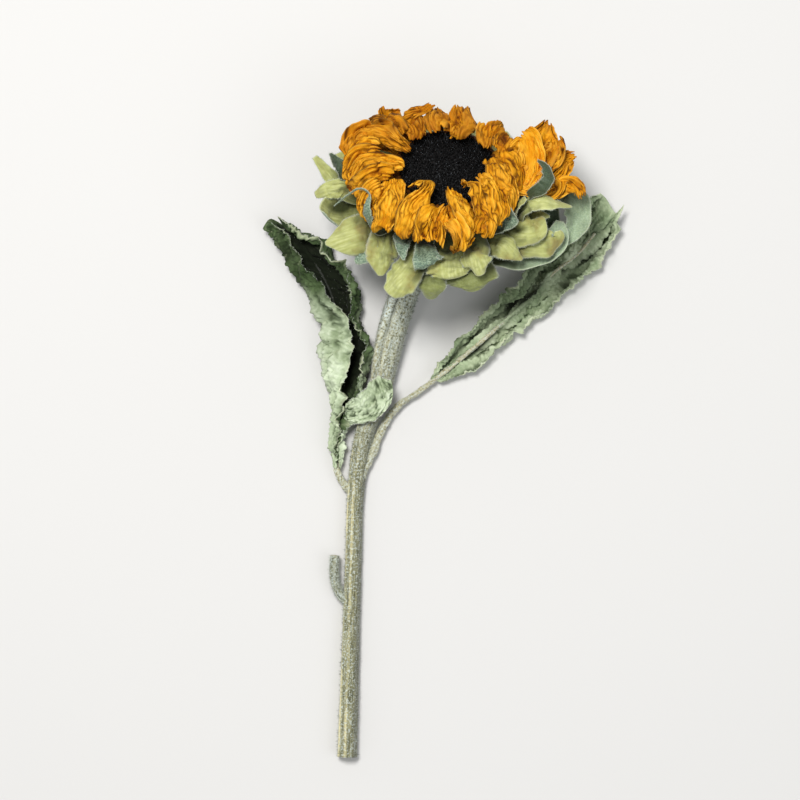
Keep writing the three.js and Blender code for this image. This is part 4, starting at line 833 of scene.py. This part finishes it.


# Leaves

# A look gives the blade's length, half width, steps along and across, number of side veins, which face is
# the pale underside (front or both) and how far along it runs before the dark one shows, view, which is 1
# where the camera sees the front face and -1 where it sees the back, how strong the crumples, edge waves and
# veins are, the sizes of broad and middling folds along and across, and how calm the midrib's strip is.
# Hollows are soft patches with a depth and a darkness of painted shade, and greens are soft patches
# of the darker green.
# Rails run from the base to the tip, one beside the other; a leaf stalk's rows are x, y, z and radius.
leaves = dict(
    thickness=0.4,
    right=dict(
        length=150, half=14, steps=(240, 78), veins=11, pale="both", view=-1, crumple=1, broad=(18, 4.2),
        middling=(11, 2.4), paleTo=1.2, wave=0.9, vein=0.35, calm=0.75,
        hollows=[[0.2, 0.17, 0.12, 0.07, 2, 1], [0.19, 0.28, 0.035, 0.1, 1.8, 0.9],
            [0.48, -0.13, 0.085, 0.26, 1.2, 1.3], [0.65, 0.33, 0.02, 0.06, 1.2, 0.8],
            [0.74, 0.38, 0.045, 0.15, 2.2, 1], [0.84, 0.46, 0.07, 0.09, 2, 0.95],
            [0.25, -0.5, 0.15, 0.1, 1.8, 0.6], [0.66, 0.1, 0.06, 0.05, 1.2, 0.7],
            [0.43, -0.45, 0.055, 0.13, 1.8, 0.95], [0.6, 0.62, 0.03, 0.09, 1.4, 0.7]],
        greens=[[0.45, -0.8, 0.12, 0.4, 0.75], [0.2, -0.75, 0.14, 0.35, 0.45], [0.9, -0.1, 0.1, 0.7, 0.4],
            [0.62, -0.5, 0.1, 0.3, 0.4]]),
    left=dict(
        length=140, half=26, steps=(240, 92), veins=9, pale="front", view=1, crumple=1.15, broad=(12, 5.5),
        middling=(6.5, 2.8), paleTo=0.7, wave=2.3, vein=0.5, calm=0.6,
        hollows=[[0.7, 0.1, 0.19, 0.6, 0, 1.2], [0.43, 0.15, 0.2, 0.45, 0, 1.2],
            [0.93, 0.1, 0.12, 0.35, 0, 0.75], [0.84, -0.75, 0.05, 0.3, 0.8, 0.6]],
        greens=[[0.68, 0.95, 0.2, 0.5, 1], [0.44, 0.95, 0.14, 0.4, 0.9]]),
    lobe=dict(
        length=34, half=11, steps=(80, 48), veins=4, pale="front", view=1, crumple=0.7, broad=(6, 4.5),
        middling=(3.4, 2.6), paleTo=1.2, wave=2.3, vein=0.4, calm=0,
        hollows=[],
        greens=[]))
rightRails = [
    [[15.5, 11, 7], [24.5, 23.5, 10], [37.5, 37.5, 13], [49.5, 49.5, 13], [60, 59.5, 12], [72, 71, 13],
        [82, 84, 15], [91, 97, 16], [101.5, 104.5, 13]],
    [[16, 10.5, 6], [27, 21.5, 5], [40.5, 34, 5], [53.5, 45.5, 5], [64, 55, 5], [75, 68, 5], [86, 79, 7],
        [94, 91, 9], [104.5, 102, 10]],
    [[17.5, 10, 5.4], [29, 19.5, 5.5], [44, 32, 6.5], [56, 43, 7], [68, 54, 7], [78.5, 65, 7], [90, 74, 8],
        [99, 84.5, 9], [109, 95, 10]],
    [[19, 9.5, 5], [31.5, 17.5, 3], [48, 28, 1.6], [61, 40, 0.4], [73.5, 51, 0.2], [84, 62, 0.2],
        [95, 71, 1], [104, 81, 4], [111.5, 96.5, 9]],
    [[20.5, 9, 6], [34, 16, 8], [51, 27.5, 9], [66, 40, 8], [79.5, 50.5, 8], [92, 61, 8], [103, 72, 8],
        [109.5, 83.5, 9], [113.5, 99, 10]]]
rightStalk = [
    [-19.5, -39, 4.4, 2.0], [-14.5, -27.5, 4.4, 2.0], [-9.6, -16, 4.4, 1.9], [-4.8, -7.5, 4.2, 1.8],
    [1, -1.5, 4.4, 1.7], [8.5, 3.5, 4.8, 1.7], [17, 10, 5.2, 1.6], [29, 19.5, 5.5, 1.4], [44, 32, 6.5, 1.3],
    [56, 43, 5.6, 1.1], [68, 54, 2.6, 0.8], [78.5, 65, 7, 1.0], [90, 74, 8, 0.9], [99, 84.5, 9, 0.8]]
leftRails = [
    [[-32.5, -35, 7.4], [-31.5, -20.5, 11], [-29, -6, 14], [-28.5, 7.5, 16], [-23.5, 24.5, 17.5],
        [-26.5, 39.5, 17], [-38, 53.5, 15], [-48.5, 67.5, 13], [-56, 81.5, 12], [-65.5, 90, 11]],
    [[-34, -34, 5.8], [-35.5, -19.5, 6.5], [-34, -5, 7.5], [-37, 9.5, 8.5], [-39.5, 25.5, 9], [-41, 39, 8.5],
        [-47, 53, 8], [-56.5, 69, 7.5], [-64, 80, 7.5], [-69.5, 87, 8]],
    [[-32.5, -35, 4], [-33, -20.5, 1.5], [-31, -6, 0.5], [-31, 7.5, 0.3], [-28.5, 25.5, 0.3], [-32, 42, 0.4],
        [-36, 56.5, 0.5], [-44, 71, 1.2], [-55.5, 84, 3.4], [-66, 92, 6]],
    [[-30.5, -35, 5.6], [-30, -21.5, 5], [-26, -7, 5], [-20, 5.5, 6], [-15, 23, 7], [-20.5, 42, 6.5],
        [-21, 51.5, 7.5], [-29.5, 66, 7], [-42.5, 81, 6.5], [-60, 89, 7]],
    [[-31, -34, 7.2], [-30.5, -20.5, 9.4], [-27, -5.5, 11], [-19, 10.5, 13], [-16.5, 28, 14.5],
        [-24, 45, 13], [-24, 57.5, 12.5], [-32, 71, 11], [-47.5, 85, 11], [-62, 93, 10]]]
leftStalk = [
    [-24.5, -48, 4.0, 1.7], [-29, -42, 4.4, 1.7], [-32, -35.5, 5.0, 1.6], [-33, -20.5, 2.6, 1.4],
    [-31, -6, 1.3, 1.2], [-31, 7.5, 0.9, 1.15], [-28.5, 25.5, 0.8, 1.1], [-32, 42, 0.8, 1],
    [-36, 56.5, 0.9, 0.9], [-44, 71, 1.6, 0.8]]
lobeRails = [
    [[-30, -13.5, 8], [-20, -12, 12.6], [-12, -10, 15.2], [-4.5, -1.5, 15.6]],
    [[-29, -8, 9], [-18.5, -6, 14], [-9.5, -2, 16.8], [-3.5, 4, 16.6]],
    [[-27.5, -2, 11], [-19.5, 4.5, 15.2], [-13, 11, 17], [-4.5, 10, 16.4]]]


def leafBlade(name, rails, node, material, seed, look):
    # A surface through the rails, moved along its normals by crumples of three sizes, hollows, puckers
    # between the side veins and waves at both edges, with toothed edges
    a, b = bladeSteps(*look["steps"])
    stations = through(np.swapaxes(np.array(rails, float), 0, 1), a[:, 0])
    grid = np.swapaxes(through(np.swapaxes(stations, 0, 1), (b[0] + 1) / 2), 0, 1)
    x, y = a * look["length"], b * look["half"]
    half = np.sign(b) + 2
    ends = climb(np.minimum(a, 1 - a), 0, 0.06)
    side = look["veins"] * a - 1.7 * np.abs(b) ** 1.2 + 0.5 * noise(seed, x / 16, half)
    fromVein = np.abs(side - np.round(side))
    vein = bell(fromVein, 0, 0.022) * (1 - 0.6 * np.abs(b)) * climb(np.abs(b), 0, 0.05)
    vein = vein * np.clip(0.7 + 1.2 * noise(seed + 13, x / 6, y / 5), 0, 1)
    warp = 2.6 * noise(seed + 1, x / 9, y / 7)
    broad = folds(seed + 2, (x + warp) / look["broad"][0], (y - 0.5 * warp) / look["broad"][1])
    middling = folds(seed + 3, (x - warp) / look["middling"][0], (y + 0.4 * warp) / look["middling"][1])
    small = folds(seed + 8, (x + y) / 2.1, (y - x) / 2.3)
    pucker = np.sin(2 * pi * fromVein) * np.abs(b) ** 0.5
    wave = np.abs(b) ** 3 * (noise(seed + 4, x / 8, half) + 0.6 * noise(seed + 9, x / 3.6, half))
    calm = 1 - look["calm"] * bell(b, 0, 0.1)
    detail = look["crumple"] * calm * (1.7 * broad - 1.2 * middling + 0.85 * small + 0.4 * pucker - 0.5)
    sunk = patches(look["hollows"], a, b, 4)
    outside = 1 if look["pale"] == "front" else -1
    lift = ends * (look["view"] * (detail - sunk) + look["wave"] * wave) + outside * 0.25 * vein
    grid = grid + gridNormals(grid) * lift[..., None]
    teeth = 0.8 * noise(seed + 5, x / 2.6, half) + 0.9 * noise(seed + 6, x / 8, half)
    teeth = ends * np.abs(b) ** 6 * (teeth + 0.35 * noise(seed + 12, x / 0.9, half))
    grid = grid + unit(np.gradient(grid, axis=1)) * (np.sign(b) * teeth)[..., None]
    grid[..., 2] = np.maximum(grid[..., 2], leaves["thickness"] / 2 + 0.05)
    # The relief is kept for painted shade in the valleys and painted highlight on the ridges
    relief = look["view"] * (0.32 * broad - 0.26 * middling + 0.18 * small)
    turned = climb(look["paleTo"] - a + 0.06 * noise(seed + 11, x / 9, y / 7), 0, 0.12)
    turned = turned * np.clip(1 - patches(look["greens"], a, b), 0, 1)
    edge = 0.6 * climb(np.abs(b), 0.95, 0.05) * np.clip(noise(seed + 7, x / 5, b) + 0.5, 0, 1)
    fields = dict(foldLight=(0.5 + relief, 0.5 - relief), margin=edge, vein=vein * look["vein"],
                  hollowShade=np.clip(patches(look["hollows"], a, b), 0, 1),
                  under=turned if look["pale"] == "both" else (turned, 0))
    blade(name, grid, leaves["thickness"], material, node, fields, ownMap(y, x))
    return grid


# Stalk and leaf stalks

# A bar has so many rows along its path and so many points round it, and its own map is as wide and
# long as it says, in millimetres for each radian and for the whole length. A path's rows are x, y, z
# and radius. Bloomed and furrows are soft patches along and round the stalk; the furrows hold painted shade.
stalk = dict(rows=400, around=64, map=(4.4, 300), ribs=7, depth=0.05,
             bloomed=[[0.645, 2.75, 0.04, 0.35, 0.9]],
             shadedFurrows=[[0.71, 2.25, 0.1, 0.15, 1], [0.72, 3.15, 0.11, 0.35, 0.4]], path=[
    [-27.0, -181.5, 4.5, 4.9], [-25.9, -147.5, 4.1, 4.5], [-24.9, -112.0, 3.9, 4.2],
    [-23.9, -81.5, 3.8, 4.1], [-23.0, -52.0, 3.7, 4.0], [-20.8, -30.5, 4.2, 4.4], [-17.3, -14.2, 5.0, 4.7],
    [-10.8, 3.5, 6.4, 5.3], [-6.2, 25.4, 8.6, 6.6], [-0.8, 44.0, 11.8, 6.3], [3.6, 56.0, 14.6, 6.1],
    [10.0, 70.0, 17.6, 6.1], [18.4, 84.5, 23.6, 6.4], [22.6, 94.2, 29.4, 6.7], [22.8, 99.2, 36.0, 6.9]])
stub = dict(rows=60, around=28, map=(2.3, 28), path=[
    [-33.2, -79.0, 6.4, 2.3], [-33.6, -86.5, 5.6, 2.3], [-32.8, -93.5, 5.0, 2.3], [-30.2, -99.0, 4.4, 2.3],
    [-26.0, -103.5, 4.0, 2.3]])
leafBar = dict(rows=220, around=24, map=(1.5, 160))


def barGrid(look, section):
    # A round bar: at each place along the path, a ring of its radius times the section at each angle. Gives
    # the rings, their outward directions, the places along from 0 to 1 and the angles.
    a = np.linspace(0, 1, look["rows"])[:, None]
    b = np.linspace(0, 2 * pi, look["around"], endpoint=False)[None, :]
    line = through(look["path"], a[:, 0])
    here, radius = line[:, :3], line[:, 3:4]
    forward = unit(np.gradient(here, axis=0))
    side = unit(np.array([1.0, 0, 0]) - forward[:, :1] * forward)
    up = np.cross(side, forward)
    out = np.cos(b)[..., None] * side[:, None] + np.sin(b)[..., None] * up[:, None]
    grid = here[:, None] + (radius * section(b, a))[..., None] * out
    grid[..., 2] = np.maximum(grid[..., 2], 0.02)
    return grid, out, a, b


def closedBar(name, look, bar, material, node, cut, fields):
    # The bar's wall with a fan of faces at each end, the first one raised a little. Cut is 1 where the ends
    # show the pith.
    grid, out, a, b = bar
    rows, columns = grid.shape[:2]
    first = grid[0].mean(0) + 0.3 * (grid[0].mean(0) - grid[1].mean(0))
    points = np.concatenate([grid.reshape(-1, 3), [first, grid[-1].mean(0)]])
    ring = np.arange(columns)
    after = (ring + 1) % columns
    top = (rows - 1) * columns
    start = np.stack([np.full(columns, rows * columns), ring, after], -1)
    finish = np.stack([np.full(columns, rows * columns + 1), after + top, ring + top], -1)
    fields = {key: np.append(np.broadcast_to(value, (rows, columns)), [0, 0])
              for key, value in fields.items()}
    fields["cut"] = np.repeat([0, cut], [rows * columns, 2])
    wide, long = look["map"]
    shape = np.concatenate([ownMap(wide * b, long * a).reshape(-1, 2), [[0, 0], [0, 0]]])
    walls = gridFaces(rows, columns, closed=True)
    makePiece(name, points, [walls, start, finish], material, node, fields, shape)


def barHairs(name, bars, lengths, radius, material, node, seed):
    # Bristles that stand off bars, leaning a little forward, and none close to the table
    rng = np.random.default_rng(seed)
    roots, directions = [], []
    for bar, count in bars:
        grid, out = bar[:2]
        i = rng.integers(1, grid.shape[0] - 1, count)
        j = rng.integers(0, grid.shape[1], count)
        spread = rng.uniform(0, 1, (count, 1))
        roots.append(grid[i, j] * spread + grid[i - 1, j] * (1 - spread) - 0.1 * out[i, j])
        forward = unit(grid[i, j] - grid[i - 1, j])
        directions.append(out[i, j] + 0.25 * forward + 0.35 * rng.normal(size=(count, 3)))
    roots, directions = np.concatenate(roots), np.concatenate(directions)
    keep = roots[:, 2] > 1.0
    roots, directions = roots[keep], directions[keep]
    directions[:, 2] = np.maximum(directions[:, 2], -0.2)
    hairs(name, roots, directions, rng.uniform(*lengths, len(roots)), radius, material, node)


def stalkSection(turn, u):
    # The model's ribs, side lobe and groove, with finer ribs and slow swellings
    upper = bell(u, 0.66, 0.1)
    lobe = 0.28 * upper * bell(turn, 3.3, 0.5)
    groove = 0.22 * upper * bell(turn, 2.3, 0.25)
    wander = 0.5 * noise(41, 9 * u, 0)
    ribs = stalk["depth"] * np.cos(stalk["ribs"] * turn) + 0.02 * np.cos(19 * turn + 3 * wander)
    rough = 0.02 * noise(42, 60 * u, 5 * turn) + 0.02 * noise(43, 14 * u, 2 * turn)
    return 1 + ribs + lobe - groove + rough


def stubSection(turn, u):
    # Five soft ribs and a slow swelling
    return 1 + 0.06 * np.cos(5 * turn) + 0.04 * noise(45, 9 * u, turn)


def stem(material, hairMaterial, bristleMaterial):
    # Straw ribs low on the left, a dark flank on the right, a bloom and painted shade in two furrows near the
    # head, with the stub of a lower leaf stalk, bristles and hair
    bar = barGrid(stalk, stalkSection)
    a, b = bar[2:]
    ribs = np.clip(np.cos(stalk["ribs"] * b) + 0.6 * noise(44, 30 * a, b), 0, 1) ** 2
    straw = np.clip(1.25 - 1.6 * a, 0, 1) * np.clip(0.35 - 0.75 * np.cos(b), 0, 1)
    bloom = patches(stalk["bloomed"], a, b) + 0.8 * np.clip(a * 1.8 - 0.6, 0, 1)
    flank = 0.5 * np.clip(np.cos(b) + 0.2, 0, 1) * np.clip(1.25 - 1.5 * a, 0, 1)
    # Painted shade in two furrows, one along the groove
    dark = flank + patches(stalk["shadedFurrows"], a, b)
    fields = dict(rib=ribs * straw + 0.1, bloom=bloom, dark=dark)
    closedBar("stalk", stalk, bar, material, "stem", 1, fields)
    stubBar = barGrid(stub, stubSection)
    closedBar("leafStalkStub", stub, stubBar, material, "stem", 1, dict(rib=0, bloom=0.3, dark=0))
    barHairs("stalkBristles", [(bar, 1300)], (0.9, 2), 0.19, bristleMaterial, "stem", 22)
    barHairs("stalkHair", [(bar, 15000), (stubBar, 1200)], (0.6, 2), 0.065, hairMaterial, "stem", 21)


def leafStalk(name, path, node, material, hairMaterial, count, thinned, sunk):
    # A leaf's stalk that runs on as its midrib, knobbly and faintly four-ribbed, thinned and darkened with
    # painted shade by so much beyond the leaf's base
    def section(turn, u):
        knobs = 1 + 0.07 * np.cos(4 * turn) + 0.3 * noise(51, 90 * u, 1.5 * turn)
        return knobs * (1 - thinned * climb(u, 0.25, 0.1))

    bar = barGrid(dict(leafBar, path=path), section)
    a = bar[2]
    # Painted shade on the midrib beyond the leaf's base
    fields = dict(rib=0.25 + 0.5 * a, bloom=0.35, dark=sunk * climb(a, 0.25, 0.08))
    closedBar(name, leafBar, bar, material, node, 0, fields)
    barHairs(name + "Hair", [(bar, count)], (0.4, 1.0), 0.045, hairMaterial, node, 23)


# The set: camera straight above, a plain pale floor and soft light

def addCamera():
    # The camera looks straight down at the middle of the photo's frame, 400 mm wide at 30 mm up
    view = dict(x=-21.9, y=17.0, height=1500, plane=30, width=400)
    camera = bpy.data.cameras.new("camera")
    camera.sensor_width = 36
    camera.lens = 36 * (view["height"] - view["plane"]) / view["width"]
    camera.clip_end = 10
    holder = bpy.data.objects.new("camera", camera)
    holder.location = (view["x"] * mm, view["y"] * mm, view["height"] * mm)
    bpy.context.scene.collection.objects.link(holder)
    bpy.context.scene.camera = holder


def addLight(name, place, size, power, colour):
    # A round light at a place, turned towards the plant
    light = bpy.data.lights.new(name, "AREA")
    light.shape = "DISK"
    light.size = size
    light.energy = power
    light.color = colour
    holder = bpy.data.objects.new(name, light)
    holder.location = place
    holder.rotation_euler = (Vector((0, 0.05, 0.03)) - Vector(place)).to_track_quat("-Z", "Y").to_euler()
    bpy.context.scene.collection.objects.link(holder)


def addSet():
    # An even white room, a soft key light and a weak fill, and a floor just under the table's level
    world = bpy.data.worlds.new("softRoom")
    world.use_nodes = True
    world.node_tree.nodes["Background"].inputs["Color"].default_value = (1, 1, 1, 1)
    world.node_tree.nodes["Background"].inputs["Strength"].default_value = 0.45
    bpy.context.scene.world = world
    addLight("key", (-0.32, 0.5, 1.6), 0.5, 28, (1, 0.98, 0.95))
    addLight("fill", (0.9, -0.5, 1.2), 1.2, 4, (0.95, 0.98, 1))
    bpy.context.scene.view_settings.view_transform = "Standard"
    size = 4.0
    corners = [(-size, -size, 0), (size, -size, 0), (size, size, 0), (-size, size, 0)]
    mesh = bpy.data.meshes.new("floor")
    mesh.from_pydata(corners, [], [(0, 1, 2, 3)])
    floor = bpy.data.objects.new("floor", mesh)
    floor.location.z = -0.0002
    finish = Finish("paleFloor", 0.9)
    finish.shader.inputs["Base Color"].default_value = (0.63, 0.63, 0.625, 1)
    mesh.materials.append(finish.material)
    bpy.context.scene.collection.objects.link(floor)


addCamera()
addSet()

petalFinish = petalMaterial()
bractFinish = bractMaterial()
leftLeafFinish = leafMaterial("driedLeafLeft", "B6C4A6", "879675")
rightLeafFinish = leafMaterial("driedLeafRight", "A3B090", "7A8B6A")
stalkFinish = stalkMaterial()
discFinish = discMaterial()
whiteHair = plainMaterial("whiteHair", "C9CFC4", "F2F4EE", 900, 0.7, 0.4)
bractHair = plainMaterial("bractHair", "95A58F", "D2DACB", 900, 0.7, 0.2)
stalkDown = plainMaterial("stalkDown", "66725F", "DFE5DA", 700, 0.7, 0.3)
stalkBristle = plainMaterial("stalkBristle", "3A4234", "8F9784", 500, 0.7, 0.1)
blackBristle = plainMaterial("blackBristle", "040405", "121112", 900, 0.5)
greyBristle = plainMaterial("greyBristle", "4E545C", "A4ACB4", 900, 0.6)
collarFinish = plainMaterial("petalBases", "2A1704", "7A4708", 500, 0.8)

for number, row in enumerate(petals["rows"]):
    petal(number, row, petalFinish)
collar(collarFinish)
print("petals made:", len(petals["rows"]))

rows = bracts["rows"] + [[row[0], row[1], 0, bracts["farCup"], outwardPoints(*row)] for row in farBracts]
bractGrids = [bract(number, row, bractFinish) for number, row in enumerate(rows)]
bladeHairs("bractHair", bractGrids, bractDown, bractHair, "involucre")
receptacle(bractFinish)
print("bracts made:", len(bractGrids))

discBed(discFinish)
florets(discFinish)
bristles("discBristles", 2600, (1.2, 2.2), 0.06, blackBristle, 12)
bristles("paleBristles", 480, (0.8, 1.6), 0.045, greyBristle, 13)
print("disc made")

rightGrid = leafBlade("rightLeaf", rightRails, "leaf_right", rightLeafFinish, 61, leaves["right"])
bladeHairs("rightLeafHair", [rightGrid], leafDown, whiteHair, "leaf_right")
leafStalk("rightLeafStalk", rightStalk, "leaf_right", stalkFinish, stalkDown, 3600, 0.25, 0.12)
leftGrid = leafBlade("leftLeaf", leftRails, "leaf_left", leftLeafFinish, 71, leaves["left"])
lobeGrid = leafBlade("leftLobe", lobeRails, "leaf_left", leftLeafFinish, 81, leaves["lobe"])
bladeHairs("leftLeafHair", [leftGrid, lobeGrid], leafDown, whiteHair, "leaf_left")
leafStalk("leftLeafStalk", leftStalk, "leaf_left", stalkFinish, whiteHair, 160, 0.6, 1)
print("leaves made")

stem(stalkFinish, stalkDown, stalkBristle)
print("stalk made")
